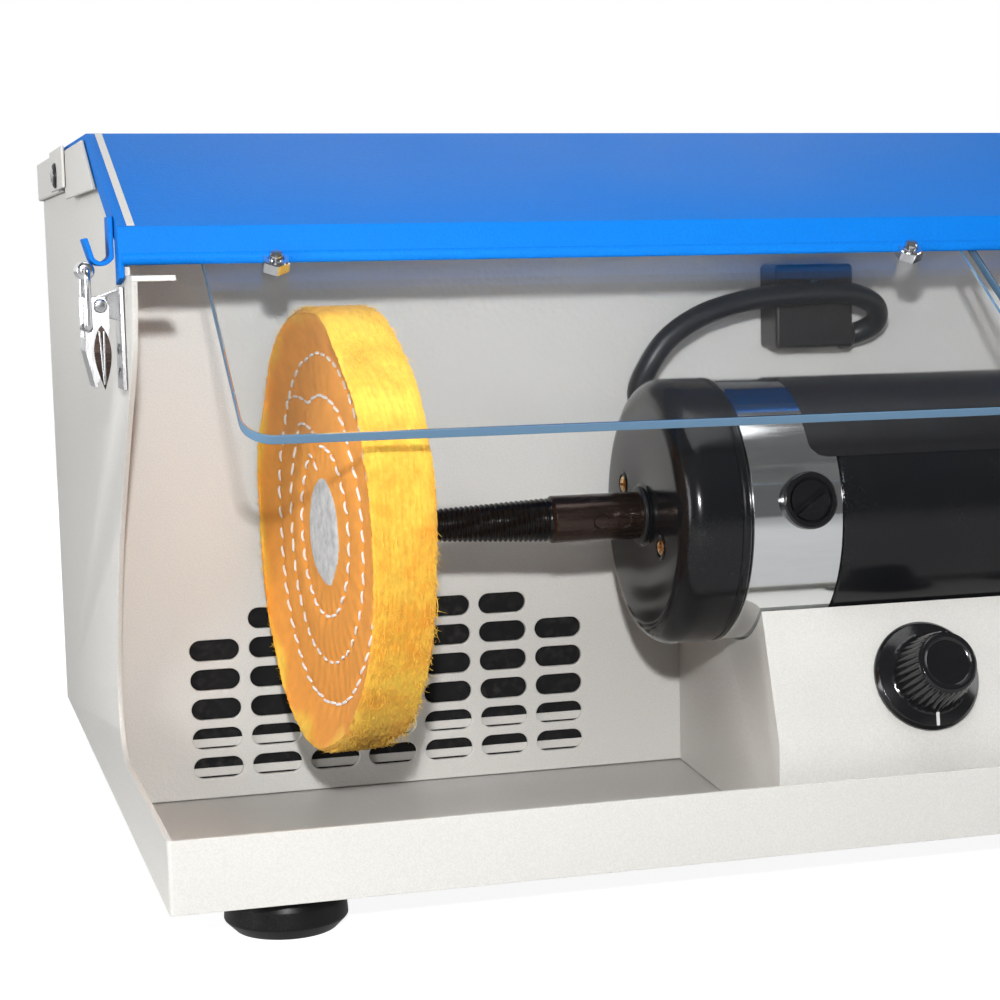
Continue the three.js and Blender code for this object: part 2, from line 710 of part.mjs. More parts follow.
// Lead from the gland to the block on the wall
function motorLead() {
  const start = glandStart.clone().addScaledVector(glandOut, glandLength + seam);
  const end = new THREE.Vector3(middle + blockOffset + blockWidth / 2 + seam,
    wallFront - seam - blockDepth / 2, blockBase + leadRadius + seam);
  const route = leadRoute.map((p) => new THREE.Vector3(...p).add(new THREE.Vector3(...motorAt(middle))));
  const curve = new THREE.CatmullRomCurve3(
    [start, start.clone().addScaledVector(glandOut, leadRadius), ...route,
      end.clone().addScaledVector(axisX, leadRadius), end], false, "centripetal");
  const section = new THREE.Shape();
  section.absarc(0, 0, leadRadius, 0, 2 * Math.PI);
  return solid(new THREE.ExtrudeGeometry(section, {
    steps: leadSteps, extrudePath: curve, curveSegments: leadSides / 2, bevelEnabled: false }));
}

function leadBlock() {
  const [left, right] = [middle + blockOffset - blockWidth / 2, middle + blockOffset + blockWidth / 2];
  const body = roundedBox(left, right, blockBase, blockBase + blockHeight, sheet);
  return alongY(body, wallFront - seam - blockDepth, wallFront - seam);
}

// Lid with its slope, lip, rolled hem and side flanges
const lidLine = () => [point(lidBack, cabinetHeight), point(lidSlopeEnd, cabinetHeight),
  point(lidFront, lidSlopeStartHeight)];

function lidShell() {
  const [left, right] = [-seam - sheet, cabinetWidth + seam + sheet];
  const skin = alongX(strip([...lidLine(), point(lidFront, lipBottom)], sheet), left, right);
  const hemCurve = new THREE.Shape();
  hemCurve.absarc(hemCentre, lipBottom, lidHem, 0, 2 * Math.PI);
  const hem = alongX(hemCurve, left + sheet / 2, right - sheet / 2, coarse / 2);
  const tongueBack = lidFront + lidTongueWidth;
  const tongueBottom = lidSlopeStartHeight - lidTongueHeight;
  const flange = outline([...lidLine(), point(lidFront, tongueBottom), point(tongueBack, tongueBottom),
    point(tongueBack, slopeHeight(tongueBack) - lidFlange),
    point(lidSlopeEnd, cabinetHeight - lidFlange), point(lidBack, cabinetHeight - lidFlange)]);
  return joined(skin, hem, alongX(flange, left, left + sheet), alongX(flange, right - sheet, right));
}

function shield() {
  const run = shieldTuck + shieldReach;
  const right = middle - shieldMiddleGap / 2;
  const shape = new THREE.Shape();
  shape.moveTo(shieldInset, 0);
  shape.lineTo(shieldInset, run - shieldCorner);
  shape.absarc(shieldInset + shieldCorner, run - shieldCorner, shieldCorner, Math.PI, Math.PI / 2, true);
  shape.lineTo(right - shieldCorner, run);
  shape.absarc(right - shieldCorner, run - shieldCorner, shieldCorner, Math.PI / 2, 0, true);
  shape.lineTo(right, 0);
  const lean = THREE.MathUtils.degToRad(shieldLean);
  const down = new THREE.Vector3(0, -Math.cos(lean), -Math.sin(lean));
  const under = axisX.clone().cross(down);
  const start = new THREE.Vector3(0, hemCentre, lipBottom)
    .addScaledVector(under, lidHem + seam).addScaledVector(down, -shieldTuck);
  const turn = new THREE.Matrix4().makeBasis(axisX, down, under).setPosition(start);
  return solid(extruded(shape, shieldThickness).applyMatrix4(turn));
}

// Butt hinge: the leaf under the cover has the outer knuckles, the leaf under the lid the middle one
const hingeCentre = hingeInset + hingeLength / 2;

function knuckle(from, to, towards) {
  const barrel = rod(hingeBarrel, [from, hingeY, hingeZ], axisX, to - from, coarse);
  const tongue = leafPlate(from, to, 0, hingeBarrel + 2 * seam, towards);
  return joined(barrel, tongue).subtract(rod(hingePin + seam, [from - overrun, hingeY, hingeZ], axisX,
    to - from + 2 * overrun, coarse));
}

// Flat stock of a hinge leaf between two distances from the pin, on the side that it points towards
function leafPlate(left, right, near, far, towards) {
  const top = cabinetHeight - sheet - seam;
  const [a, b] = [hingeY + towards * near, hingeY + towards * far];
  return block(left, right, Math.min(a, b), Math.max(a, b), top - hingePlate, top);
}

const [hingeLeft, hingeRight] = [hingeCentre - hingeLength / 2, hingeCentre + hingeLength / 2];

function hingeFixed() {
  const share = hingeLength / hingeKnuckles;
  return joined(leafPlate(hingeLeft, hingeRight, hingeBarrel + seam, lidOpenGap + hingeLeaf, 1),
    knuckle(hingeLeft, hingeLeft + share, 1), knuckle(hingeRight - share, hingeRight, 1));
}

function hingeMoving() {
  const half = hingeLength / hingeKnuckles / 2 - seam;
  return joined(leafPlate(hingeLeft, hingeRight, hingeBarrel + seam, lidOpenGap + hingeLeaf, -1),
    knuckle(hingeCentre - half, hingeCentre + half, -1));
}

const hingePinRod = () => rod(hingePin, [hingeLeft, hingeY, hingeZ], axisX, hingeLength, coarse);

// Toggle latch on each side panel
const latchMiddle = latchSetback + latchWidth / 2;
const pivot = { x: -latchPivotReach, z: lidSlopeStartHeight - latchPivotDrop };
const bailPivot = { x: pivot.x - bailPivotOut, z: pivot.z - bailPivotDrop };

function latchBase() {
  const [front, back] = [latchSetback, latchSetback + latchWidth];
  const top = lidSlopeStartHeight - latchPlateDrop;
  const plate = block(-seam - latchPlate, -seam, front, back, top - latchPlateLength, top);
  const ear = (y) => {
    const shape = outline([point(-seam - latchPlate / 2, pivot.z - leverDepth),
      point(pivot.x, pivot.z - 2 * latchPinRadius),
      point(pivot.x - earReachShare * latchPinRadius, pivot.z),
      point(pivot.x, pivot.z + 2 * latchPinRadius), point(-seam - latchPlate / 2, pivot.z + leverDepth)]);
    return alongY(shape, y, y + latchPlate);
  };
  const inset = latchPlate + seam;
  const pin = rod(latchPinRadius, [pivot.x, front + inset, pivot.z], axisY, latchWidth - 2 * inset,
    latchPinSides);
  return joined(plate, ear(front + inset), ear(back - inset - latchPlate), pin);
}

function latchLever() {
  const [front, back] = [latchSetback, latchSetback + latchWidth];
  const [x, z] = [pivot.x, pivot.z];
  const [reach, top] = [2 * latchPinRadius, z - bailPivotDrop - 3 * bailWire];
  const knee = z - leverLength * leverShares.knee;
  const [heel, brow] = [z - leverLength * leverShares.heel, z - leverLength * leverShares.brow];
  const [outer, tip] = [x - leverDepth, x - leverDepth / 2];
  const side = (y) => {
    const cheek = outline([point(x + reach, z), point(x + latchPinRadius, z + reach),
      point(outer, z + reach), point(outer, knee), point(tip, z - leverLength), point(x, heel),
      point(x + reach, brow)]);
    return alongY(cheek, y, y + latchPlate);
  };
  const face = alongY(outline([point(outer, top), point(outer, knee), point(tip, z - leverLength),
    point(tip + latchPlate, z - leverLength), point(outer + latchPlate, knee),
    point(outer + latchPlate, top)]), front, back);
  const bore = rod(bailWire + seam / 2, [bailPivot.x, front - overrun, bailPivot.z], axisY,
    latchWidth + 2 * overrun, latchPinSides);
  return joined(side(front), side(back - latchPlate), face).subtract(bore);
}

function latchBail() {
  const [y0, y1] = [latchSetback - bailWire - seam, latchSetback + latchWidth + bailWire + seam];
  const [x, z] = [bailPivot.x, bailPivot.z];
  const leg = (y) => rod(bailWire, [x, y, z - bailWire], axisZ, bailReach + 2 * bailWire, wireSides);
  const cross = rod(bailWire, [x, y0 - bailWire, z + bailReach], axisY, y1 - y0 + 2 * bailWire, wireSides);
  const stubLength = 2 * bailWire + seam + latchPlate * bailStubShare;
  const stub = (y) => rod(bailWire, [x, y, z], axisY, stubLength, wireSides);
  return joined(leg(y0), leg(y1), cross, stub(y0 - bailWire), stub(y1 + bailWire - stubLength));
}

function latchKeeper() {
  const x = -2 * seam - sheet;
  const half = keeperWidth / 2;
  const trough = lidSlopeStartHeight - keeperTroughDrop + keeperPlate;
  const curl = [point(x, lidSlopeStartHeight + keeperRise), point(x, trough)];
  const radius = (keeperReach - keeperPlate) / 2;
  const { rise, start, turn } = keeperCurlShares;
  for (let i = 1; i <= keeperSteps; i++) {
    const angle = -Math.PI * (start + (turn * i) / keeperSteps);
    curl.push(point(x - radius + radius * Math.cos(angle), trough + radius * (rise + Math.sin(angle))));
  }
  curl.push(point(x - keeperReach, lidSlopeStartHeight - keeperTipDrop));
  return alongY(strip(curl, -keeperPlate), latchMiddle - half, latchMiddle + half);
}

// Feet
function foot(x, y) {
  const top = footHeight - seam;
  return turned([[0, footDimple], [footDimpleRadius, footDimple], [footDimpleRadius, 0],
    [footRadius - footEdge, 0], [footRadius, footEdge], [footTopRadius, top], [0, top]],
    [x, y, -footHeight], axisZ);
}

// Dust extraction
function dustFilter() {
  const columns = (slotColumns - 1) * slotPitchAcross + slotLength;
  const left = slotFirstX - slotLength / 2 - filterMargin;
  const top = slotFirstZ + (slotRows - 1) * slotPitchUp + slotHeight / 2 + filterMargin;
  return block(left, left + columns + 2 * filterMargin, wallBack + seam,
    wallBack + seam + filterThickness, sheet + 2 * seam + sheet, top);
}

function filterTrayChannel() {
  const columns = (slotColumns - 1) * slotPitchAcross + slotLength;
  const left = slotFirstX - slotLength / 2 - filterMargin;
  const right = left + columns + 2 * filterMargin;
  const [front, back] = [wallBack + seam, wallBack + 2 * seam + filterThickness];
  const base = sheet + seam;
  return joined(block(left, right, front, back + sheet, base, base + sheet - seam),
    block(left, right, back, back + sheet, base, base + filterTray));
}

const fanBack = cabinetDepth - sheet - seam;
const fanAt = (y) => [middle, y, fanHeight];

function fanFrame() {
  const half = fanSize / 2;
  const body = alongY(roundedBox(middle - half, middle + half, fanHeight - half, fanHeight + half,
    half - fanBore), fanBack - fanDepth, fanBack);
  const hollow = body.subtract(rod(fanBore, fanAt(fanBack - fanDepth - overrun), axisY,
    fanDepth + 2 * overrun, fine));
  const motorDepth = fanDepth * fanMotorShare;
  let made = joined(hollow, rod(fanHubRadius, fanAt(fanBack - motorDepth), axisY, motorDepth));
  for (let i = 0; i < fanStruts; i++) {
    const turn = (2 * Math.PI * (i + 1 / 2)) / fanStruts;
    const strut = block(fanHubRadius - overrun, fanBore + overrun, -fanStrut, 0, -fanStrut / 2, fanStrut / 2);
    const matrix = new THREE.Matrix4().makeTranslation(...fanAt(fanBack)).multiply(
      new THREE.Matrix4().makeRotationY(turn));
    made = joined(made, moved(strut, matrix));
  }
  return made;
}

function fanImpeller() {
  const hubBack = fanBack - fanDepth * fanMotorShare - seam;
  const hubFront = fanBack - fanDepth + sheet;
  const hub = turned([[0, 0], [fanHubRadius * fanNoseShare, 0], [fanHubRadius, sheet],
    [fanHubRadius, hubBack - hubFront], [0, hubBack - hubFront]], fanAt(hubFront), axisY);
  const chord = (hubBack - hubFront - 2 * sheet) / Math.sin(THREE.MathUtils.degToRad(fanBladePitch));
  let made = hub;
  for (let i = 0; i < fanBlades; i++) {
    const reach = fanBore - fanTipGap;
    const blade = block(fanHubRadius - overrun, reach, -fanBladeThickness / 2, fanBladeThickness / 2,
      -chord / 2, chord / 2);
    const matrix = new THREE.Matrix4().makeTranslation(...fanAt((hubBack + hubFront) / 2))
      .multiply(new THREE.Matrix4().makeRotationY((2 * Math.PI * i) / fanBlades))
      .multiply(new THREE.Matrix4().makeRotationX(THREE.MathUtils.degToRad(90 - fanBladePitch)));
    made = joined(made, moved(blade, matrix));
  }
  return made;
}

function powerInlet() {
  const [x, z] = [inletInset, inletZ];
  const back = cabinetDepth + seam;
  const [w, h] = [inletWidth / 2, inletHeight / 2];
  const flange = alongY(roundedBox(x - w - inletFrame, x + w + inletFrame, z - h - inletFrame,
    z + h + inletFrame, 2 * inletFrame), back, back + inletFrame);
  const body = alongY(roundedBox(x - w + inletFrame, x + w - inletFrame, z - h + inletFrame,
    z + h - inletFrame, inletFrame), back - inletDepth, back + inletFrame / 2);
  const well = alongY(roundedBox(x - w / 2, x + w / 2, z - h / 2, z + h / 2, inletFrame),
    back - inletDepth + inletFrame, back + 2 * inletFrame);
  let made = joined(flange, body).subtract(well);
  for (let i = 0; i < inletPins; i++) {
    const px = x + (i - (inletPins - 1) / 2) * (w / inletPins) * inletPinSpread;
    made = joined(made, block(px - sheet / 2, px + sheet / 2, back - inletDepth, back - inletFrame,
      z - inletFrame / 2, z + inletFrame / 2));
  }
  return made;
}

addPiece("base_pan", basePan(), cream);
addPair("side_panel", sidePanel(), cream);
addPiece("grille_wall", grilleWall(), cream);
addPiece("rear_panel", rearPanel(), cream);
addPiece("rear_cover", rearCover(), cream);
addPiece("pedestal_housing", pedestal(), cream);
addPiece("speed_knob", speedKnob(), gloss);
addPiece("speed_potentiometer", speedPot(), satin);
addPiece("speed_board", speedBoard(), board);
addPiece("switch_frame", switchFrame(), satin);
addPiece("power_rocker", rocker(), gloss);
addPair("motor_cap", motorCap(), gloss);
addPair("motor_ring", tube(ringLeft, ringLength - seam, motorRadius), aluminium);
addPiece("motor_sleeve", tube(sleeveLeft, sleeveLength - seam, motorRadius), gloss);
addPair("brush_cap", brushCap(), gloss);
addPiece("motor_shaft", motorShaft(), steel);
addPair("spindle", spindle(), blackSteel);
addPair("buff", buff(), cloth);
addPiece("lead_gland", leadGland(), satin);
addPiece("motor_lead", motorLead(), lead);
addPiece("lead_block", leadBlock(), satin);
addPiece("lid_shell", lidShell(), blue);
addPair("shield", shield(), acrylic);
addPiece("hinge_rail", hingeRail(), cream);
addPair("hinge_leaf_fixed", hingeFixed(), steel);
addPair("hinge_leaf_moving", hingeMoving(), steel);
addPair("hinge_pin", hingePinRod(), steel);
addPair("latch_base", latchBase(), steel);
addPair("latch_lever", latchLever(), steel);
addPair("latch_bail", latchBail(), steel);
addPair("latch_keeper", latchKeeper(), blue);
const footBack = cabinetDepth - footInsetY;
addPair("front_foot", foot(footInsetX, footInsetY), rubber);
addPair("rear_foot", foot(footInsetX, footBack), rubber);
addPair("dust_filter", dustFilter(), foam);
addPair("filter_tray", filterTrayChannel(), cream);
addPiece("fan_frame", fanFrame(), satin);
addPiece("fan_impeller", fanImpeller(), gloss);
addPiece("power_inlet", powerInlet(), satin);

// The origin lies under the middle of the whole machine, on the plane that its feet stand on
const span = new THREE.Box3().setFromObject(machine);
const centre = span.getCenter(new THREE.Vector3());
machine.position.set(-centre.x, -centre.y, -span.min.z);

const polishingMachine = new THREE.Group();
polishingMachine.add(machine);

export default polishingMachine;
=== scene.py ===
# Bench polishing machine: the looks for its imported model, in metres
import json
import math

import bmesh
import bpy
import numpy as np
from mathutils import Matrix, Vector

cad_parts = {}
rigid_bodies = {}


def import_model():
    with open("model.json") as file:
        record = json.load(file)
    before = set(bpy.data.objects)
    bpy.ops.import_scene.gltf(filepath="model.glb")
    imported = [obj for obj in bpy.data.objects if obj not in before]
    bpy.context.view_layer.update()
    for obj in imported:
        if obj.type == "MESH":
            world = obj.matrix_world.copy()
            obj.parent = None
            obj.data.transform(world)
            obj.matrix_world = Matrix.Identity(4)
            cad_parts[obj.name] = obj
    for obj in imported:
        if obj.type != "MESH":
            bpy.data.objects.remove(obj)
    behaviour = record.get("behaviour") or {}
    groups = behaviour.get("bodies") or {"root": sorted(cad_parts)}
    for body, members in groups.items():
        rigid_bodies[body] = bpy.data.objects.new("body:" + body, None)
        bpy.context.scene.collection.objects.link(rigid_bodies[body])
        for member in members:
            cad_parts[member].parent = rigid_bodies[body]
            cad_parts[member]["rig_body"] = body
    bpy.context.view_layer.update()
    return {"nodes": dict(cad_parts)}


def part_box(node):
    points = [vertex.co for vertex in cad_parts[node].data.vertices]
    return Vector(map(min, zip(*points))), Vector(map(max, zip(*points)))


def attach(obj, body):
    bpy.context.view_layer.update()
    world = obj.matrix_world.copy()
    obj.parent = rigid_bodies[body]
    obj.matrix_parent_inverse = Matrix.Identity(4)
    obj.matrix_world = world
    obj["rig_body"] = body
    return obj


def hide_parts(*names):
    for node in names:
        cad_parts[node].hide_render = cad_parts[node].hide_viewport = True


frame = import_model()
mm = 0.001

# The drawing's corner: the front left bottom edge of the base pan
drawingCorner = np.array(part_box("base_pan")[0])


def at(x, y, z):
    # a place in the drawing's millimetres, moved to the frame in metres
    return drawingCorner + np.array([x, y, z], float) * mm


def nodeBox(node):
    # lowest and highest corner of a node in the drawing's millimetres
    low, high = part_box(node)
    return (np.array(low) - drawingCorner) / mm, (np.array(high) - drawingCorner) / mm


cabinet = {"width": 500.0, "sheet": 1.5, "seam": 0.3, "wall": 124.0}
motorLow, motorHigh = nodeBox("motor_sleeve")
motorAxis = (motorLow + motorHigh) / 2
print("frame loaded, motor axis at", motorAxis.round(2))

# Camera
photoCamera = {"focal": 2.30893, "yaw": 17.32, "pitch": 7.43, "roll": -1.01, "sensor": 36.0,
               "place": (-65.44, -592.83, 168.29), "shift": (-0.101, 0.0599), "near": 0.01, "far": 30.0}


def cameraAxes(view):
    # right, up and forward of a camera turned by yaw, then pitched down, then rolled
    yaw, pitch, roll = (math.radians(view[key]) for key in ("yaw", "pitch", "roll"))
    forward = Vector((math.sin(yaw) * math.cos(pitch), math.cos(yaw) * math.cos(pitch), -math.sin(pitch)))
    right = Vector((math.cos(yaw), -math.sin(yaw), 0))
    up = right.cross(forward)
    return right * math.cos(roll) + up * math.sin(roll), up * math.cos(roll) - right * math.sin(roll), forward


def addCamera(view):
    data = bpy.data.cameras.new("photoCamera")
    data.sensor_width = view["sensor"]
    data.lens = view["focal"] * view["sensor"]
    data.shift_x, data.shift_y = view["shift"]
    data.clip_start, data.clip_end = view["near"], view["far"]
    camera = bpy.data.objects.new("photoCamera", data)
    right, up, forward = cameraAxes(view)
    turn = Matrix((right, up, -forward)).transposed().to_4x4()
    camera.matrix_world = Matrix.Translation(Vector(at(*view["place"]))) @ turn
    bpy.context.scene.collection.objects.link(camera)
    bpy.context.scene.camera = camera


addCamera(photoCamera)
print("camera set")

# Shader node groups and the small helpers that build them


def newGroup(name, inputs, outputs):
    group = bpy.data.node_groups.new(name, "ShaderNodeTree")
    for label, kind, value in inputs:
        socket = group.interface.new_socket(name=label, in_out="INPUT", socket_type=kind)
        socket.default_value = value
    for label in outputs:
        group.interface.new_socket(name=label, in_out="OUTPUT", socket_type="NodeSocketFloat")
    return group, group.nodes.new("NodeGroupInput"), group.nodes.new("NodeGroupOutput")


def plug(tree, value, socket):
    # a number is written on the socket, anything else is linked to it
    if isinstance(value, (int, float, tuple)):
        socket.default_value = value
    else:
        tree.links.new(value, socket)


def mathNode(tree, operation, *values):
    node = tree.nodes.new("ShaderNodeMath")
    node.operation = operation
    for value, socket in zip(values, node.inputs):
        plug(tree, value, socket)
    return node.outputs[0]


def noiseNode(tree, vector, scale, detail=2.0, roughness=0.5):
    node = tree.nodes.new("ShaderNodeTexNoise")
    tree.links.new(vector, node.inputs["Vector"])
    plug(tree, scale, node.inputs["Scale"])
    node.inputs["Detail"].default_value = detail
    node.inputs["Roughness"].default_value = roughness
    return node.outputs["Fac"]


def rangeNode(tree, value, fromLow, fromHigh, toLow=0.0, toHigh=1.0):
    node = tree.nodes.new("ShaderNodeMapRange")
    tree.links.new(value, node.inputs["Value"])
    for label, number in (("From Min", fromLow), ("From Max", fromHigh), ("To Min", toLow), ("To Max", toHigh)):
        node.inputs[label].default_value = number
    return node.outputs["Result"]


def objectPlace(tree, scale=None):
    place = tree.nodes.new("ShaderNodeTexCoord").outputs["Object"]
    if scale is None:
        return place
    mapping = tree.nodes.new("ShaderNodeMapping")
    mapping.inputs["Scale"].default_value = scale
    tree.links.new(place, mapping.inputs["Vector"])
    return mapping.outputs[0]

# Noise is given by its scale, detail and roughness, a window by where a range starts and ends
peelLook = {"cells": (1.5, 0.45), "gritScale": 3.1, "gritDetail": 1.0, "cloud": (14.0, 3.0, 0.6),
            "window": (0.3, 0.7), "speck": (-0.5, 0.5), "tone": (0.985, 1.015), "roughness": (-0.04, 0.04)}
grainLook = {"fine": (900.0, 3.0, 0.65), "broad": (90.0, 2.0), "fineShare": 0.7, "broadShare": 0.3, "middle": 0.5}
dustLook = {"patches": (22.0, 4.0, 0.62), "patchWindow": (0.42, 0.72), "speckScale": 1600.0, "speckDetail": 1.0,
            "speckWindow": (0.45, 0.8), "roughness": 0.6, "colour": (0.42, 0.40, 0.37)}
weaveLook = {"shakeScale": 0.35, "shake": (0.7, 0.7, 0.7), "streak": (0.16, 4.0, 0.6), "window": (0.3, 0.7),
             "streakTone": (0.9, 1.08), "weaveTone": 0.05}


def makePowderCoat(look):
    # orange peel: soft cells over a millimetre wide with finer grit on them, and broad clouds in the tone
    group, source, sink = newGroup(
        "powderCoat", [("Cell Size", "NodeSocketFloat", 1.4), ("Grit", "NodeSocketFloat", 0.35),
                       ("Speckle", "NodeSocketFloat", 0.06)], ["Height", "Tone", "Roughness"])
    place = objectPlace(group)
    scale = mathNode(group, "DIVIDE", 1 / mm, source.outputs["Cell Size"])
    cells = noiseNode(group, place, scale, *look["cells"])
    grit = noiseNode(group, place, mathNode(group, "MULTIPLY", scale, look["gritScale"]), look["gritDetail"])
    height = mathNode(group, "MULTIPLY_ADD", grit, source.outputs["Grit"], cells)
    cloud = noiseNode(group, place, *look["cloud"])
    speck = rangeNode(group, grit, *look["window"], *look["speck"])
    tone = mathNode(group, "ADD", mathNode(group, "MULTIPLY", speck, source.outputs["Speckle"]),
                    rangeNode(group, cloud, *look["window"], *look["tone"]))
    group.links.new(height, sink.inputs["Height"])
    group.links.new(tone, sink.inputs["Tone"])
    group.links.new(rangeNode(group, cloud, *look["window"], *look["roughness"]), sink.inputs["Roughness"])
    return group


def makeMetalGrain(look):
    # fine lines from noise that a Mapping node outside has stretched along the piece
    group, source, sink = newGroup(
        "metalGrain", [("Vector", "NodeSocketVector", (0, 0, 0)), ("Contrast", "NodeSocketFloat", 0.5)],
        ["Height", "Tone", "Roughness"])
    fine = noiseNode(group, source.outputs["Vector"], *look["fine"])
    broad = noiseNode(group, source.outputs["Vector"], *look["broad"])
    both = mathNode(group, "MULTIPLY_ADD", fine, look["fineShare"],
                    mathNode(group, "MULTIPLY", broad, look["broadShare"]))
    change = mathNode(group, "MULTIPLY", mathNode(group, "SUBTRACT", both, look["middle"]),
                      source.outputs["Contrast"])
    group.links.new(both, sink.inputs["Height"])
    group.links.new(mathNode(group, "ADD", change, 1.0), sink.inputs["Tone"])
    group.links.new(change, sink.inputs["Roughness"])
    return group


def makeDustFilm(look):
    # specks of dust that gather in patches
    group, source, sink = newGroup(
        "dustFilm", [("Amount", "NodeSocketFloat", 0.3), ("Size", "NodeSocketFloat", 1.0)], ["Mask", "Roughness"])
    place = objectPlace(group)
    patches = noiseNode(group, place, *look["patches"])
    specks = noiseNode(group, place, mathNode(group, "DIVIDE", look["speckScale"], source.outputs["Size"]),
                       look["speckDetail"])
    mask = mathNode(group, "MULTIPLY", rangeNode(group, patches, *look["patchWindow"]),
                    rangeNode(group, specks, *look["speckWindow"]))
    amount = mathNode(group, "MULTIPLY", mask, source.outputs["Amount"])
    group.links.new(amount, sink.inputs["Mask"])
    group.links.new(mathNode(group, "MULTIPLY", amount, look["roughness"]), sink.inputs["Roughness"])
    return group


def makeClothWeave(look):
    # plain weave: two crossed sine waves over the cloth's own millimetres, shaken by noise
    group, source, sink = newGroup(
        "clothWeave", [("Vector", "NodeSocketVector", (0, 0, 0)), ("Pitch", "NodeSocketFloat", 0.55)],
        ["Height", "Tone"])
    shake = group.nodes.new("ShaderNodeTexNoise")
    shake.inputs["Scale"].default_value = look["shakeScale"]
    group.links.new(source.outputs["Vector"], shake.inputs["Vector"])
    moved = group.nodes.new("ShaderNodeVectorMath")
    moved.operation = "MULTIPLY_ADD"
    moved.inputs[1].default_value = look["shake"]
    group.links.new(shake.outputs["Color"], moved.inputs[0])
    group.links.new(source.outputs["Vector"], moved.inputs[2])
    split = group.nodes.new("ShaderNodeSeparateXYZ")
    group.links.new(moved.outputs[0], split.inputs[0])
    turn = mathNode(group, "DIVIDE", 2 * math.pi, source.outputs["Pitch"])
    waves = [mathNode(group, "SINE", mathNode(group, "MULTIPLY", split.outputs[axis], turn)) for axis in (0, 1)]
    crossed = mathNode(group, "MULTIPLY", *waves)
    streak = noiseNode(group, source.outputs["Vector"], *look["streak"])
    group.links.new(crossed, sink.inputs["Height"])
    tone = mathNode(group, "MULTIPLY_ADD", crossed, look["weaveTone"],
                    rangeNode(group, streak, *look["window"], *look["streakTone"]))
    group.links.new(tone, sink.inputs["Tone"])
    return group


powderCoat = makePowderCoat(peelLook)
metalGrain = makeMetalGrain(grainLook)
dustFilm = makeDustFilm(dustLook)
clothWeave = makeClothWeave(weaveLook)


def newMaterial(name, slot, colour, roughness, metallic=0.0, **sockets):
    material = bpy.data.materials.new(name)
    material.use_nodes = True
    tree = material.node_tree
    shader = tree.nodes["Principled BSDF"]
    shader.inputs["Base Color"].default_value = (*colour, 1)
    shader.inputs["Roughness"].default_value = roughness
    shader.inputs["Metallic"].default_value = metallic
    for label, value in sockets.items():
        shader.inputs[label.replace("_", " ")].default_value = value
    return material, tree, shader


def useGroup(tree, group, **values):
    node = tree.nodes.new("ShaderNodeGroup")
    node.node_tree = group
    for label, value in values.items():
        plug(tree, value, node.inputs[label.replace("_", " ")])
    return node.outputs


def addBump(tree, shader, height, strength, distance):
    bump = tree.nodes.new("ShaderNodeBump")
    bump.inputs["Strength"].default_value = strength
    bump.inputs["Distance"].default_value = distance * mm
    tree.links.new(height, bump.inputs["Height"])
    tree.links.new(bump.outputs["Normal"], shader.inputs["Normal"])


def scaledColour(tree, colour, tone):
    # a colour multiplied by a tone near one
    node = tree.nodes.new("ShaderNodeVectorMath")
    node.operation = "SCALE"
    plug(tree, colour, node.inputs[0])
    tree.links.new(tone, node.inputs["Scale"])
    return node.outputs[0]


def mixedColour(tree, share, first, second):
    node = tree.nodes.new("ShaderNodeMix")
    node.data_type = "RGBA"
    tree.links.new(share, node.inputs["Factor"])
    for value, label in ((first, "A"), (second, "B")):
        plug(tree, (*value, 1) if isinstance(value, tuple) else value, node.inputs[label])
    return node.outputs["Result"]


def setRoughness(tree, shader, base, change):
    tree.links.new(mathNode(tree, "ADD", change, base), shader.inputs["Roughness"])


def paintMaterial(name, slot, colour, roughness, cell, grit, speckle, bump, bounce, **sockets):
    # bounce dims the paint for light that it passes on, so that shadows stay as deep as a flash leaves them
    material, tree, shader = newMaterial(name, slot, colour, roughness, **sockets)
    peel = useGroup(tree, powderCoat, Cell_Size=cell, Grit=grit, Speckle=speckle)
    bounced = tree.nodes.new("ShaderNodeLightPath").outputs["Is Diffuse Ray"]
    tone = mathNode(tree, "MULTIPLY", peel["Tone"], rangeNode(tree, bounced, 0.0, 1.0, 1.0, bounce))
    tree.links.new(scaledColour(tree, colour, tone), shader.inputs["Base Color"])
    setRoughness(tree, shader, roughness, peel["Roughness"])
    addBump(tree, shader, peel["Height"], bump, 0.15)
    return material


def metalMaterial(name, slot, colour, roughness, contrast, stretch, bump=0.08, metallic=1.0):
    material, tree, shader = newMaterial(name, slot, colour, roughness, metallic)
    grain = useGroup(tree, metalGrain, Contrast=contrast, Vector=objectPlace(tree, stretch))
    tree.links.new(scaledColour(tree, colour, grain["Tone"]), shader.inputs["Base Color"])
    setRoughness(tree, shader, roughness, grain["Roughness"])
    addBump(tree, shader, grain["Height"], bump, 0.05)
    return material


def dustyMaterial(name, slot, colour, roughness, amount, bump=0.0, size=1.0, grain=1400.0, **sockets):
    material, tree, shader = newMaterial(name, slot, colour, roughness, **sockets)
    dust = useGroup(tree, dustFilm, Amount=amount, Size=size)
    tree.links.new(mixedColour(tree, dust["Mask"], colour, dustLook["colour"]), shader.inputs["Base Color"])
    setRoughness(tree, shader, roughness, dust["Roughness"])
    if bump:
        addBump(tree, shader, noiseNode(tree, objectPlace(tree), grain, 2.0), bump, 0.05)
    return material


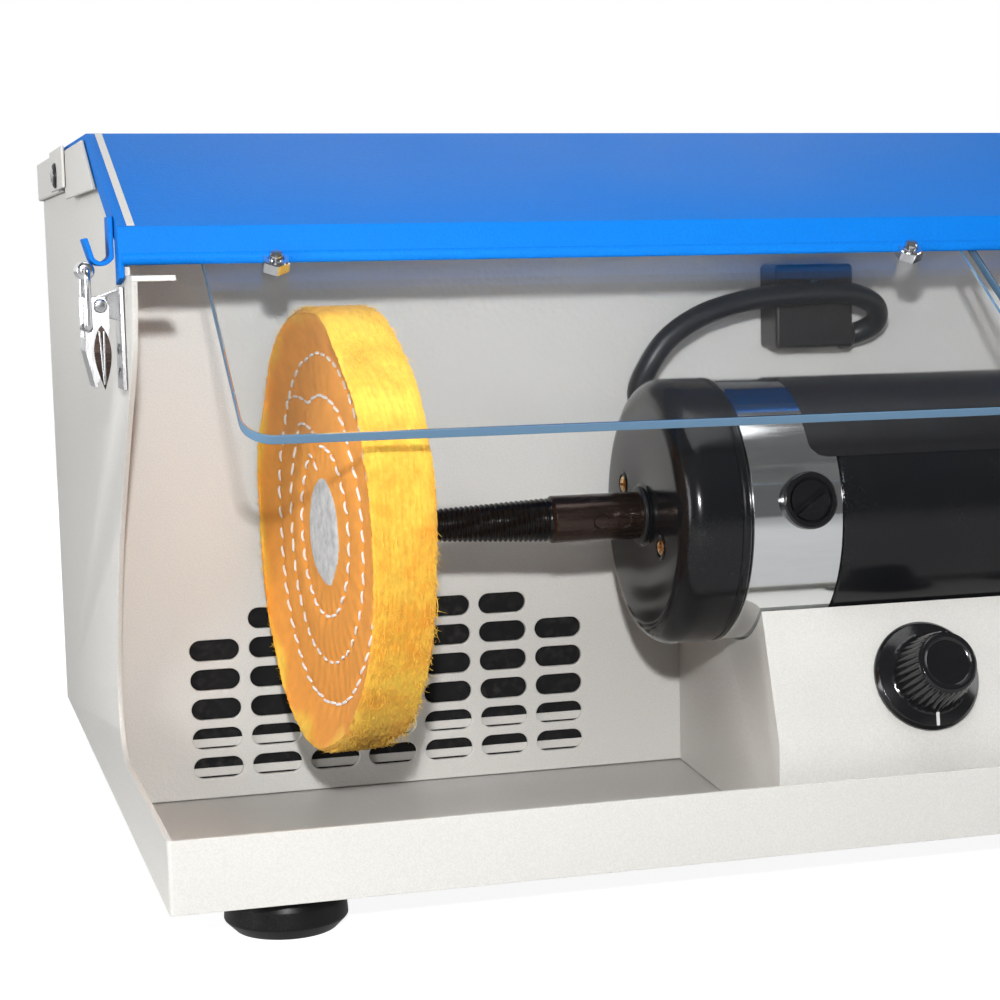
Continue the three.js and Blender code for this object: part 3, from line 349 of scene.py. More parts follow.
creamPaint = paintMaterial("creamPaint", "cream", (0.80, 0.785, 0.745), 0.40, cell=1.5, grit=0.5, speckle=0.09,
                           bump=0.9, bounce=0.45)
bluePaint = paintMaterial("bluePaint", "blue", (0.001, 0.225, 0.84), 0.62, cell=1.1, grit=0.6, speckle=0.2,
                          bump=0.8, bounce=0.5, Specular_IOR_Level=0.15)
polishedAluminium = metalMaterial("polishedAluminium", "polished", (0.78, 0.80, 0.81), 0.10, contrast=0.14,
                                  stretch=(0.08, 1.0, 1.0), bump=0.03)
platedSteel = metalMaterial("platedSteel", "steel", (0.50, 0.50, 0.51), 0.28, contrast=0.3,
                            stretch=(1.0, 1.0, 0.15))
brightSteel = metalMaterial("brightSteel", "steel", (0.72, 0.73, 0.75), 0.13, contrast=0.12,
                            stretch=(1.0, 0.2, 0.2))
brassScrew = metalMaterial("brassScrew", "steel", (0.78, 0.50, 0.24), 0.25, contrast=0.2, stretch=(1.0, 1.0, 0.3))
blackenedSteel = metalMaterial("blackenedSteel", "dark_steel", (0.050, 0.034, 0.028), 0.25, contrast=0.5,
                               stretch=(0.15, 1.0, 1.0), bump=0.1, metallic=0.8)
threadSteel = metalMaterial("threadSteel", "dark_steel", (0.020, 0.019, 0.020), 0.22, contrast=0.3,
                            stretch=(0.15, 1.0, 1.0), bump=0.05, metallic=0.8)
blackEnamel = dustyMaterial("blackEnamel", "black_paint", (0.006, 0.0065, 0.0075), 0.17, amount=0.04, bump=0.06,
                            Specular_IOR_Level=0.33)
glossBlack = dustyMaterial("glossBlack", "gloss", (0.006, 0.006, 0.007), 0.14, amount=0.04, bump=0.05)
labelBlack = dustyMaterial("labelBlack", "black_paint", (0.005, 0.005, 0.006), 0.32, amount=0.03)
satinBlack = dustyMaterial("satinBlack", "satin", (0.008, 0.008, 0.009), 0.38, amount=0.05, bump=0.25)
footRubber = dustyMaterial("footRubber", "rubber", (0.005, 0.005, 0.006), 0.36, amount=0.05, bump=0.2,
                           Specular_IOR_Level=0.25)
cableSheath = dustyMaterial("cableSheath", "lead", (0.008, 0.010, 0.014), 0.36, amount=0.05, bump=0.15)
filterFoam = dustyMaterial("filterFoam", "foam", (0.006, 0.006, 0.007), 0.95, amount=0.12, bump=1.0, size=4.0,
                           grain=900.0)
boardGreen = dustyMaterial("boardGreen", "board", (0.02, 0.16, 0.06), 0.45, amount=0.1)
markWhite = dustyMaterial("markWhite", "gloss", (0.80, 0.80, 0.78), 0.4, amount=0.1)
acrylicEdge = dustyMaterial("acrylicEdge", "clear", (0.14, 0.27, 0.42), 0.20, amount=0.1)
stitchThread = dustyMaterial("stitchThread", "cloth", (0.86, 0.85, 0.82), 0.75, amount=0.1, bump=0.8,
                             grain=2600.0, Sheen_Weight=0.3)
tuftFibre = dustyMaterial("tuftFibre", "cloth", (1.0, 0.62, 0.075), 0.85, amount=0.0, Sheen_Weight=0.2)

acrylicLook = {"colour": (0.985, 0.992, 0.995), "roughness": 0.03, "refraction": 1.49, "stretch": (0.12, 1.0, 1.0),
               "streaks": (60.0, 4.0, 0.65), "window": (0.35, 0.75), "polish": (0.01, 0.06),
               "shadow": (0.96, 0.975, 0.985, 1)}


def makeAcrylic(look):
    # clear sheet that lets the lamps through, so that what lies behind it stays lit
    material, tree, shader = newMaterial("clearAcrylic", "clear", look["colour"], look["roughness"],
                                         IOR=look["refraction"], Transmission_Weight=1.0)
    streaks = noiseNode(tree, objectPlace(tree, look["stretch"]), *look["streaks"])
    tree.links.new(rangeNode(tree, streaks, *look["window"], *look["polish"]), shader.inputs["Roughness"])
    clear = tree.nodes.new("ShaderNodeBsdfTransparent")
    clear.inputs["Color"].default_value = look["shadow"]
    mix = tree.nodes.new("ShaderNodeMixShader")
    output = next(node for node in tree.nodes if node.type == "OUTPUT_MATERIAL")
    tree.links.new(tree.nodes.new("ShaderNodeLightPath").outputs["Is Shadow Ray"], mix.inputs[0])
    tree.links.new(shader.outputs[0], mix.inputs[1])
    tree.links.new(clear.outputs[0], mix.inputs[2])
    tree.links.new(mix.outputs[0], output.inputs["Surface"])
    return material


clothLook = {"face": (0.95, 0.36, 0.050), "rim": (1.0, 0.64, 0.075), "deep": (0.95, 0.40, 0.035), "roughness": 0.9,
             "pitch": 0.62, "fuzzStretch": (1.0, 0.35, 0.35), "fuzz": (700.0, 4.0, 0.7),
             "tufts": (75.0, 4.0, 0.65), "tuftWindow": (0.42, 0.68), "fuzzWindow": (0.25, 0.75),
             "fuzzTone": (0.80, 1.12), "weaveHeight": 0.25, "fuzzHeight": 3.0, "bump": (0.8, 0.25)}


def makeBuffCloth(look):
    # orange woven face that turns into a frayed yellow rim, by the mesh's own rimShare
    material, tree, shader = newMaterial("buffCloth", "cloth", look["face"], look["roughness"], Sheen_Weight=0.55,
                                         Sheen_Roughness=0.5, Sheen_Tint=(1.0, 0.55, 0.2, 1.0))
    attribute = tree.nodes.new("ShaderNodeAttribute")
    attribute.attribute_name = "rimShare"
    share = attribute.outputs["Fac"]
    cloth = tree.nodes.new("ShaderNodeUVMap")
    cloth.uv_map = "clothUv"
    weave = useGroup(tree, clothWeave, Vector=cloth.outputs["UV"], Pitch=look["pitch"])
    fuzz = noiseNode(tree, objectPlace(tree, look["fuzzStretch"]), *look["fuzz"])
    tufts = noiseNode(tree, objectPlace(tree), *look["tufts"])
    rimColour = mixedColour(tree, rangeNode(tree, tufts, *look["tuftWindow"]), look["rim"], look["deep"])
    rimTone = scaledColour(tree, rimColour, rangeNode(tree, fuzz, *look["fuzzWindow"], *look["fuzzTone"]))
    faceTone = scaledColour(tree, look["face"], weave["Tone"])
    tree.links.new(mixedColour(tree, share, faceTone, rimTone), shader.inputs["Base Color"])
    woven = mathNode(tree, "MULTIPLY", weave["Height"], mathNode(tree, "SUBTRACT", 1.0, share))
    frayed = mathNode(tree, "MULTIPLY", mathNode(tree, "MULTIPLY", fuzz, look["fuzzHeight"]), share)
    height = mathNode(tree, "ADD", mathNode(tree, "MULTIPLY", woven, look["weaveHeight"]), frayed)
    addBump(tree, shader, height, *look["bump"])
    return material


feltLook = {"colour": (0.66, 0.66, 0.65), "roughness": 0.85, "cloud": (260.0, 4.0, 0.65), "window": (0.35, 0.68),
            "low": (0.50, 0.51, 0.53), "high": (0.76, 0.76, 0.75), "fibres": (900.0, 3.0, 0.6), "bump": (0.8, 0.2)}


def makePatch(look):
    # pale fibre disc under the flange, greyer in random clouds
    material, tree, shader = newMaterial("centrePatch", "cloth", look["colour"], look["roughness"])
    cloud = noiseNode(tree, objectPlace(tree), *look["cloud"])
    colour = mixedColour(tree, rangeNode(tree, cloud, *look["window"]), look["low"], look["high"])
    tree.links.new(colour, shader.inputs["Base Color"])
    addBump(tree, shader, noiseNode(tree, objectPlace(tree), *look["fibres"]), *look["bump"])
    return material


clearAcrylic = makeAcrylic(acrylicLook)
buffCloth = makeBuffCloth(clothLook)
centrePatch = makePatch(feltLook)

# Mesh helpers. Every place below is in the drawing's millimetres until meshOf moves it to the frame.
sides = (("left", 1), ("right", -1))
upright = ((1, 0, 0), (0, 0, 1))
level = ((1, 0, 0), (0, 1, 0))
sideways = ((0, 1, 0), (0, 0, 1))


def sided(points, sign):
    # the same places, or their mirror image about the middle of the cabinet
    placed = np.array(points, float)
    if sign < 0:
        placed[..., 0] = cabinet["width"] - placed[..., 0]
    return placed


def closeUp(mesh, distance=1e-6):
    # merges what meets at seams and poles, drops slivers and turns the faces outwards
    work = bmesh.new()
    work.from_mesh(mesh)
    bmesh.ops.remove_doubles(work, verts=work.verts, dist=distance)
    bmesh.ops.dissolve_degenerate(work, edges=work.edges, dist=distance)
    bmesh.ops.recalc_face_normals(work, faces=work.faces)
    work.to_mesh(mesh)
    work.free()


def meshOf(name, points, faces):
    mesh = bpy.data.meshes.new(name)
    placed = drawingCorner + np.asarray(points, float).reshape(-1, 3) * mm
    mesh.from_pydata(placed.tolist(), [], faces if isinstance(faces, list) else faces.tolist())
    return mesh


def finishPiece(name, mesh, material, body, smoothAngle=35.0):
    mesh.materials.append(material)
    mesh.polygons.foreach_set("use_smooth", [True] * len(mesh.polygons))
    mesh.set_sharp_from_angle(angle=math.radians(smoothAngle))
    piece = bpy.data.objects.new(name, mesh)
    bpy.context.scene.collection.objects.link(piece)
    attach(piece, body)
    return piece


def gridFaces(rows, columns):
    # quads between the neighbours of a grid of points, rows by columns, whose last column meets the first
    i, j = (g.ravel() for g in np.meshgrid(np.arange(rows - 1), np.arange(columns), indexing="ij"))
    k = (j + 1) % columns
    return np.stack([i * columns + j, (i + 1) * columns + j, (i + 1) * columns + k, i * columns + k], 1)


def copiesOf(faces, count, points):
    # the same faces for each of many equal pieces that have so many points each
    faces = np.asarray(faces)
    return (faces[None] + np.arange(count)[:, None, None] * points).reshape(-1, faces.shape[1])


def gridPiece(name, grid, material, body, smoothAngle=35.0):
    mesh = meshOf(name, grid, gridFaces(grid.shape[0], grid.shape[1]))
    closeUp(mesh)
    return finishPiece(name, mesh, material, body, smoothAngle)


def acrossFrame(direction):
    # two unit vectors across a direction, and the direction itself
    along = np.array(direction, float) / np.linalg.norm(direction)
    helper = np.array([0, 0, 1.0]) if abs(along[2]) < 0.9 else np.array([1.0, 0, 0])
    first = np.cross(helper, along)
    first /= np.linalg.norm(first)
    return first, np.cross(along, first), along


def besideAxis(lean, way):
    # a direction across the motor that leans up by so many degrees, to the front at -1 and to the back at 1
    lean = math.radians(lean)
    return np.array([0, way * math.cos(lean), math.sin(lean)])


def wholeTurn(steps):
    return np.linspace(0, 2 * math.pi, steps, endpoint=False)


def aboutAxis(radius, height, turn, place, direction):
    # a point at a radius, a height along the axis and a turn round it, as whole arrays
    first, second, along = acrossFrame(direction)
    outwards = np.cos(turn)[..., None] * first + np.sin(turn)[..., None] * second
    return np.asarray(place, float) + radius[..., None] * outwards + height[..., None] * along


def roundCorners(points, radius, steps=4):
    # a polyline whose corners are replaced by quadratic arcs that start at the radius's tangent length
    points = np.asarray(points, float)
    before, corner, after = points[:-2], points[1:-1], points[2:]
    back, on = before - corner, after - corner
    backLength, onLength = np.linalg.norm(back, axis=1), np.linalg.norm(on, axis=1)
    back, on = back / backLength[:, None], on / onLength[:, None]
    half = np.arccos(np.clip((back * on).sum(1), -1, 1)) / 2
    reach = np.minimum(radius / np.maximum(np.tan(half), 1e-3), 0.48 * np.minimum(backLength, onLength))
    t = np.linspace(0, 1, steps + 1)[None, :, None]
    start, end = (corner + back * reach[:, None])[:, None], (corner + on * reach[:, None])[:, None]
    arcs = (1 - t) ** 2 * start + 2 * t * (1 - t) * corner[:, None] + t ** 2 * end
    return np.concatenate([points[:1], arcs.reshape(-1, points.shape[1]), points[-1:]])


def turnedPiece(name, profile, place, direction, material, body, steps=96, smoothAngle=35.0):
    # a profile of radius and height turned about an axis; heights run along the direction
    profile = np.asarray(profile, float)
    radius, angle = np.meshgrid(profile[:, 0], wholeTurn(steps), indexing="ij")
    height = np.repeat(profile[:, 1:], steps, 1)
    return gridPiece(name, aboutAxis(radius, height, angle, place, direction), material, body, smoothAngle)


def drumProfile(radius, length, edge):
    # a drum with a small chamfer at each end
    return [(0, 0), (radius - edge, 0), (radius, edge), (radius, length - edge), (radius - edge, length),
            (0, length)]


def smoothPath(points, count):
    # centripetal Catmull-Rom curve through the points, as whole arrays
    given = np.asarray(points, float)
    given = np.concatenate([[2 * given[0] - given[1]], given, [2 * given[-1] - given[-2]]])
    knots = np.concatenate([[0], np.cumsum(np.linalg.norm(np.diff(given, axis=0), axis=1) ** 0.5)])
    t = np.linspace(knots[1], knots[-2], count)
    i = np.clip(np.searchsorted(knots, t, side="right") - 1, 1, len(given) - 3)
    k = [knots[i + n][:, None] for n in (-1, 0, 1, 2)]
    q = [given[i + n] for n in (-1, 0, 1, 2)]
    t = t[:, None]

    def between(a, b, ka, kb):
        return ((kb - t) * a + (t - ka) * b) / (kb - ka)

    first = [between(q[n], q[n + 1], k[n], k[n + 1]) for n in range(3)]
    second = [between(first[n], first[n + 1], k[n], k[n + 2]) for n in range(2)]
    return between(second[0], second[1], k[1], k[2])


def tubePiece(name, path, radius, material, body, steps=20, smoothAngle=50.0):
    # a circle carried along a path, its frame turned as little as can be from one point to the next
    path = np.asarray(path, float)
    tangents = np.gradient(path, axis=0)
    tangents /= np.linalg.norm(tangents, axis=1)[:, None]
    across = acrossFrame(tangents[0])[0]
    firsts = []
    for tangent in tangents:
        across = across - tangent * (across @ tangent)
        across /= np.linalg.norm(across)
        firsts.append(across)
    firsts = np.array(firsts)
    seconds = np.cross(tangents, firsts)
    turn = wholeTurn(steps)
    ring = np.cos(turn)[None, :, None] * firsts[:, None] + np.sin(turn)[None, :, None] * seconds[:, None]
    grid = path[:, None] + radius * ring
    grid = np.concatenate([np.repeat(path[:1, None], steps, 1), grid, np.repeat(path[-1:, None], steps, 1)])
    return gridPiece(name, grid, material, body, smoothAngle)


def signedArea(points):
    x, y = np.asarray(points, float).T
    return 0.5 * float(np.sum(x * np.roll(y, -1) - np.roll(x, -1) * y))


def platePiece(name, outlines, place, right, up, thickness, edge, material, body):
    # a flat outline with holes, given a thickness and rounded edges; the first outline is the outer one
    curve = bpy.data.curves.new(name, "CURVE")
    curve.dimensions = "2D"
    curve.fill_mode = "BOTH"
    curve.extrude = (thickness / 2 - edge) * mm
    curve.bevel_depth = edge * mm
    curve.bevel_resolution = 1
    curve.offset = -edge * mm
    for index, points in enumerate(outlines):
        points = np.asarray(points, float)
        if (signedArea(points) > 0) != (index == 0):
            points = points[::-1]
        flat = np.zeros((len(points), 4))
        flat[:, :2] = points * mm
        flat[:, 3] = 1
        spline = curve.splines.new("POLY")
        spline.points.add(len(points) - 1)
        spline.points.foreach_set("co", flat.ravel())
        spline.use_cyclic_u = True
    holder = bpy.data.objects.new(name + "Flat", curve)
    bpy.context.scene.collection.objects.link(holder)
    mesh = bpy.data.meshes.new_from_object(holder.evaluated_get(bpy.context.evaluated_depsgraph_get()))
    bpy.data.objects.remove(holder)
    right, up = Vector(right), Vector(up)
    turn = Matrix((right, up, right.cross(up))).transposed().to_4x4()
    mesh.transform(Matrix.Translation(Vector(at(*place))) @ turn)
    mesh.materials.clear()
    closeUp(mesh)
    return finishPiece(name, mesh, material, body, 12.0)


def rectangle(x0, x1, y0, y1):
    return [(x0, y0), (x1, y0), (x1, y1), (x0, y1)]


def roundedRectangle(x0, x1, y0, y1, radius, steps=6):
    # four quarter circles joined by straight sides, anticlockwise
    turn = np.linspace(0, math.pi / 2, steps + 1)
    corners = ((x1 - radius, y0 + radius, -1), (x1 - radius, y1 - radius, 0), (x0 + radius, y1 - radius, 1),
               (x0 + radius, y0 + radius, 2))
    return np.concatenate([np.stack([x + radius * np.cos(turn + quarter * math.pi / 2),
                                     y + radius * np.sin(turn + quarter * math.pi / 2)], 1)
                           for x, y, quarter in corners])


def slotOutline(x, y, length, height):
    return roundedRectangle(x - length / 2, x + length / 2, y - height / 2, y + height / 2, height / 2 - 1e-3, 8)


def circleOutline(radius, steps=40):
    turn = wholeTurn(steps)
    return np.stack([radius * np.cos(turn), radius * np.sin(turn)], 1)


# A CAD mesh's flat faces are joined where they bend by less than flatBend degrees and lie within weld metres
skin = {"weld": 2e-6, "flatBend": 0.6, "bevelBend": 28.0, "smooth": 60.0}


def softened(node, material, radius, segments=2):
    # a copy of a node whose flat faces are joined and whose edges are rounded, as paint rounds sheet metal
    source = frame["nodes"][node]
    mesh = source.data.copy()
    mesh.materials.clear()
    work = bmesh.new()
    work.from_mesh(mesh)
    bmesh.ops.remove_doubles(work, verts=work.verts, dist=skin["weld"])
    bmesh.ops.dissolve_limit(work, angle_limit=math.radians(skin["flatBend"]), verts=work.verts, edges=work.edges)
    work.to_mesh(mesh)
    work.free()
    piece = finishPiece(node + "_skin", mesh, material, source["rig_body"], skin["smooth"])
    bevel = piece.modifiers.new("edges", "BEVEL")
    bevel.width = radius * mm
    bevel.segments = segments
    bevel.limit_method = "ANGLE"
    bevel.angle_limit = math.radians(skin["bevelBend"])
    bevel.harden_normals = True
    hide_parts(node)
    return piece


# Shares of the head's radius and height: the dome's fall at its rim, and the cross's arms and depth
screwHead = {"rings": 22, "steps": 48, "domeFall": 0.82, "domePower": 2.6, "armHalf": 0.13, "armReach": 0.62,
             "armDepth": 0.62, "rampStart": 0.66, "rampLength": 0.2}


def crossScrew(name, place, direction, radius, height, material, body):
    # pan head: a flat dome with a cross sunk in it, height = dome minus a step inside the cross's arms
    look = screwHead
    r, angle = np.meshgrid(np.linspace(0, 1, look["rings"]), wholeTurn(look["steps"]), indexing="ij")
    dome = height * np.sqrt(np.clip(1 - look["domeFall"] * r ** look["domePower"], 0, 1))
    arm = np.minimum(np.abs(r * np.cos(angle)), np.abs(r * np.sin(angle)))
    sunk = (arm < look["armHalf"]) & (r < look["armReach"])
    ramp = np.clip((look["rampStart"] - r) / look["rampLength"], 0, 1)
    top = dome - np.where(sunk, look["armDepth"] * height * ramp, 0)
    foot = np.zeros((2, look["steps"]))
    r = np.concatenate([r, foot[:1] + 1, foot[:1]]) * radius
    top = np.concatenate([top, foot])
    angle = np.concatenate([angle, angle[:2]])
    return gridPiece(name, aboutAxis(r, top, angle, place, direction), material, body, 40.0)


print("helpers ready")

# Sheet metal: folded panels with rounded bends and cut edges, by the radius of the rounding
sheetEdges = {"base_pan": 0.55, "left_side_panel": 0.4, "right_side_panel": 0.4, "rear_cover": 0.7,
              "hinge_rail": 0.4, "pedestal_housing": 0.9, "lid_shell": 0.7, "latch_keeper": 0.35,
              "filter_tray": 0.25}
for node in ("base_pan", "left_side_panel", "right_side_panel", "rear_cover", "hinge_rail"):
    softened(node, creamPaint, sheetEdges[node])
for side, _ in sides:
    softened(side + "_latch_keeper", bluePaint, sheetEdges["latch_keeper"])

# Places on the fold lines, in the drawing's millimetres, and how far scene pieces lean or rise from them
fold = {"pedestalFront": 12.5, "pedestalTaper": 8.7, "pedestalHalf": 70.0, "lipRaise": 1.9, "lipTop": 176.0,
        "lipBack": 46.0, "lipLow": 171.5}


def reshaped(piece, rule):
    # moves a piece's points by a rule on their places in the drawing's millimetres
    mesh = piece.data
    flat = np.zeros(len(mesh.vertices) * 3)
    mesh.vertices.foreach_get("co", flat)
    points = (flat.reshape(-1, 3) - drawingCorner) / mm
    mesh.vertices.foreach_set("co", (drawingCorner + rule(points) * mm).ravel())
    mesh.update()


def drawnIn(points):
    # the housing's sides lean in towards the wall: as far as the point lies behind the front
    back = np.clip((points[:, 1] - fold["pedestalFront"]) / (cabinet["wall"] - fold["pedestalFront"]), 0, 1)
    inwards = cabinet["width"] / 2 - points[:, 0]
    points[:, 0] += np.sign(inwards) * fold["pedestalTaper"] * back * (np.abs(inwards) > fold["pedestalHalf"])
    return points


def shortLip(points):
    # the rolled edge sits a little higher, and the lip above it is that much shorter
    share = np.clip((fold["lipTop"] - points[:, 2]) / (fold["lipTop"] - fold["lipLow"]), 0, 1)
    points[:, 2] += fold["lipRaise"] * share * (points[:, 1] < fold["lipBack"])
    return points


reshaped(softened("pedestal_housing", creamPaint, sheetEdges["pedestal_housing"]), drawnIn)
reshaped(softened("lid_shell", bluePaint, sheetEdges["lid_shell"]), shortLip)

grille = {"firstX": 30.9, "firstZ": 11.5, "acrossPitch": 18.66, "upPitch": 9.35, "columns": 7, "rows": 6,
          "length": 15.6, "height": 6.6, "edge": 0.3, "flangeInset": 12.0}


def grilleHoles(look):
    # rows of long slots; the first and the last column have one slot fewer
    holes = []
    for column in range(look["columns"]):
        rows = look["rows"] - (1 if column in (0, look["columns"] - 1) else 0)
        x = look["firstX"] + column * look["acrossPitch"]
        for row in range(rows):
            z = look["firstZ"] + row * look["upPitch"]
            holes.append(slotOutline(x, z, look["length"], look["height"]))
            holes.append(slotOutline(cabinet["width"] - x, z, look["length"], look["height"]))
    return holes


def addGrilleWall(look):
    low, high = nodeBox("grille_wall")
    sheet, inset = cabinet["sheet"], look["flangeInset"]
    outline = rectangle(low[0], high[0], low[2], high[2])
    wall = platePiece("slotted_wall", [outline, *grilleHoles(look)], (0, low[1] + sheet / 2, 0), *upright, sheet,
                      look["edge"], creamPaint, "cabinet")
    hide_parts("grille_wall")
    flange = rectangle(low[0] + inset, high[0] - inset, low[1] + sheet, high[1])
    platePiece("slotted_wall_flange", [flange], (0, 0, high[2] - sheet / 2), *level, sheet, look["edge"],
               creamPaint, "cabinet")


exhaust = {"slots": 9, "height": 5.0, "bore": 56.0, "margin": 2.0, "fanZ": 98.0, "edge": 0.3,
           "inletX": 100.0, "inletZ": 40.0, "inletWidth": 48.0, "inletHeight": 28.0, "inletFrame": 2.4,
           "screwInset": 12, "screwAcross": 100, "screwHeights": (12, 160), "screwSink": 0.1,
           "screwHead": (3.4, 1.6), "fanScrewReach": 52.5, "fanScrewHead": (3.2, 1.5)}


def addRearPanel(look):
    # slots as long as the fan's circle is wide at their height, and the mains inlet's opening
    low, high = nodeBox("rear_panel")
    reach = look["bore"] - look["margin"]
    rises = (np.arange(look["slots"]) - (look["slots"] - 1) / 2) * 2 * reach / look["slots"]
    middle = cabinet["width"] / 2
    holes = [slotOutline(middle, look["fanZ"] + rise, 2 * math.sqrt(reach ** 2 - rise ** 2), look["height"])
             for rise in rises]
    halfWidth = look["inletWidth"] / 2 - look["inletFrame"] + cabinet["seam"]
    halfHeight = look["inletHeight"] / 2 - look["inletFrame"] + cabinet["seam"]
    holes.append(roundedRectangle(look["inletX"] - halfWidth, look["inletX"] + halfWidth,
                                  look["inletZ"] - halfHeight, look["inletZ"] + halfHeight, look["inletFrame"]))
    outline = rectangle(low[0], high[0], low[2], high[2])
    panel = platePiece("rear_panel_sheet", [outline, *holes], (0, (low[1] + high[1]) / 2, 0), *upright,
                       high[1] - low[1], look["edge"], creamPaint, "cabinet")
    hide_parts("rear_panel")
    back = high[1] - look["screwSink"]
    inset, across, fanReach = look["screwInset"], look["screwAcross"], look["fanScrewReach"]
    for x in (inset, middle - across, middle + across, cabinet["width"] - inset):
        for z in look["screwHeights"]:
            crossScrew(f"rear_screw_{round(x)}_{z}", (x, back, z), (0, 1, 0), *look["screwHead"], platedSteel,
                       "cabinet")
    for x in (middle - fanReach, middle + fanReach):
        for z in (look["fanZ"] - fanReach, look["fanZ"] + fanReach):
            crossScrew(f"fan_screw_{round(x)}_{round(z)}", (x, back, z), (0, 1, 0), *look["fanScrewHead"],
                       satinBlack, "cabinet")


pedestalScrews = {"x": (188, 312), "y": 112, "z": 40.1, "head": (3.2, 1.5)}


def addPedestalScrews(look):
    # two screws hold the housing's rear flange
    for x in look["x"]:
        crossScrew(f"pedestal_screw_{x}", (x, look["y"], look["z"]), (0, 0, 1), *look["head"], platedSteel,
                   "cabinet")


trayStrip = {"left": 22.0, "right": 152.0, "rows": (8.6, 17.9), "height": 2.7, "behind": 0.35, "thickness": 0.8,
             "edge": 0.2}


def addTrayStrips(look):
    # pale wires of the filter's holder, seen through the lower half of the two lowest rows of slots
    y = cabinet["wall"] + cabinet["sheet"] + look["behind"]
    for side, sign in sides:
        for index, z in enumerate(look["rows"]):
            outline = sided(rectangle(look["left"], look["right"], z, z + look["height"]), sign)
            platePiece(f"{side}_filter_strip_{index + 1}", [outline], (0, y, 0), *upright, look["thickness"],
                       look["edge"], creamPaint, "cabinet")


cheeks = {"outer": -3.3, "inner": -2.1, "thickness": 1.0, "edge": 0.3,
          "cover": ((183, 194.3), (233, 194.3), (233, 207.7), (183, 207.7)),
          "lid": ((91, 190.6), (188, 190.6), (188, 206.2), (124, 206.2)),
          "slope": ((40.0, 179.0), (120.0, 208.0)), "strip": (0.8, 2.9), "highlightEnds": 0.6, "highlightThickness": 0.3,
          "highlightEdge": 0.1}


def addCheeks(look):
    # cream plates outside the lid's end, and a pale strip down the end of its slope: a painted highlight that
    # stands in for the shine on the lid's blue flange
    low, high = (np.array([0.0, *end]) for end in look["slope"])
    length = np.linalg.norm(high - low)
    along = (high - low) / length
    out = np.cross([1.0, 0, 0], along)
    thickness, ends = look["thickness"], look["highlightEnds"]
    for side, sign in sides:
        for name, x in (("cover", look["outer"]), ("lid", look["inner"])):
            platePiece(f"{side}_{name}_cheek", [look[name]], sided((x - thickness / 2, 0, 0), sign), *sideways,
                       thickness, look["edge"], creamPaint, "cabinet")
        # painted highlight: a thin cream strip stands in for the bright shine on the lid's blue side flange
        outline = sided(rectangle(*look["strip"], ends, length - ends), sign)
        platePiece(f"{side}_lid_flange_highlight", [outline], low + out * look["highlightThickness"] / 2, (1, 0, 0), along,
                   look["highlightThickness"], look["highlightEdge"], creamPaint, "lid")


# The cup's profile is a list of radius and height
coverScrew = {"y": 209, "z": 199, "cup": ((0, 0), (4.2, 0), (4.2, 0.5), (3.4, 1.1), (2.9, 0.6), (0, 0.6)),
              "rounding": 0.25, "steps": 48, "rise": 0.5, "head": (2.7, 1.3)}


def addCoverScrews(look):
    # a black rimmed screw on each cover's cheek
    x = cheeks["outer"] - cheeks["thickness"]
    for side, sign in sides:
        turnedPiece(f"{side}_cover_screw_cup", roundCorners(look["cup"], look["rounding"]),
                    sided((x, look["y"], look["z"]), sign), (-sign, 0, 0), satinBlack, "cabinet", look["steps"])
        crossScrew(f"{side}_cover_screw", sided((x - look["rise"], look["y"], look["z"]), sign), (-sign, 0, 0),
                   *look["head"], platedSteel, "cabinet")


addGrilleWall(grille)
addRearPanel(exhaust)
addPedestalScrews(pedestalScrews)
addTrayStrips(trayStrip)
addCheeks(cheeks)
addCoverScrews(coverScrew)
for side, _ in sides:
    softened(side + "_filter_tray", creamPaint, sheetEdges["filter_tray"])
print("sheet metal dressed")

# Motor with its polished rings, spindles and lead. Profiles are lists of radius and height.
motorLook = {"capRadius": 39.0, "capRound": 7.0, "capRoundSteps": 12, "hubRadius": 9.0, "hubHeight": 0.35,
             "hubLip": ((0.8, 0.12), (1.6, 0.0)), "capGroove": ((0, 3.0), (0.35, 2.6), (0.35, 2.2), (0, 1.8)),
             "ringRadius": 38.5, "sleeveDrop": 0.1, "edge": 0.5, "turnSteps": 160}


def capProfile(look, length):
    # from the flat face round a soft quarter turn to the straight side and its groove
    r, k, e, hub = look["capRadius"], look["capRound"], look["edge"], look["hubRadius"]
    turn = np.linspace(0, math.pi / 2, look["capRoundSteps"])
    quarter = np.stack([r - k + k * np.sin(turn), k - k * np.cos(turn)], 1)
    face = [(0, -look["hubHeight"]), (hub - e, -look["hubHeight"]), (hub, 0.0)]
    face += [(hub + out, up) for out, up in look["hubLip"]]
    groove = [(r - depth, length - back) for depth, back in look["capGroove"]]
    return np.concatenate([face, quarter, groove, [(r, length - e), (r - e, length), (0, length)]])


def addMotor(look):
    capLow, capHigh = nodeBox("left_motor_cap")
    ringLow, ringHigh = nodeBox("left_motor_ring")
    low, high = nodeBox("motor_sleeve")
    ring = drumProfile(look["ringRadius"], ringHigh[0] - ringLow[0], look["edge"])
    for side, sign in sides:
        for name, node, profile, x, material in (
                ("end_cap", "motor_cap", capProfile(look, capHigh[0] - capLow[0]), capLow[0], blackEnamel),
                ("polished_ring", "motor_ring", ring, ringLow[0], polishedAluminium)):
            piece = turnedPiece(f"{side}_{name}", profile, sided((x, *motorAxis[1:]), sign), (sign, 0, 0),
                                material, "cabinet", look["turnSteps"])
            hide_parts(f"{side}_{node}")
        addCapScrews(capScrews, side, sign, capLow[0])
    profile = drumProfile(look["ringRadius"] - look["sleeveDrop"], high[0] - low[0], look["edge"])
    sleeve = turnedPiece("motor_body", profile, (low[0], *motorAxis[1:]), (1, 0, 0), blackEnamel, "cabinet",
                         look["turnSteps"])
    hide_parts("motor_sleeve")


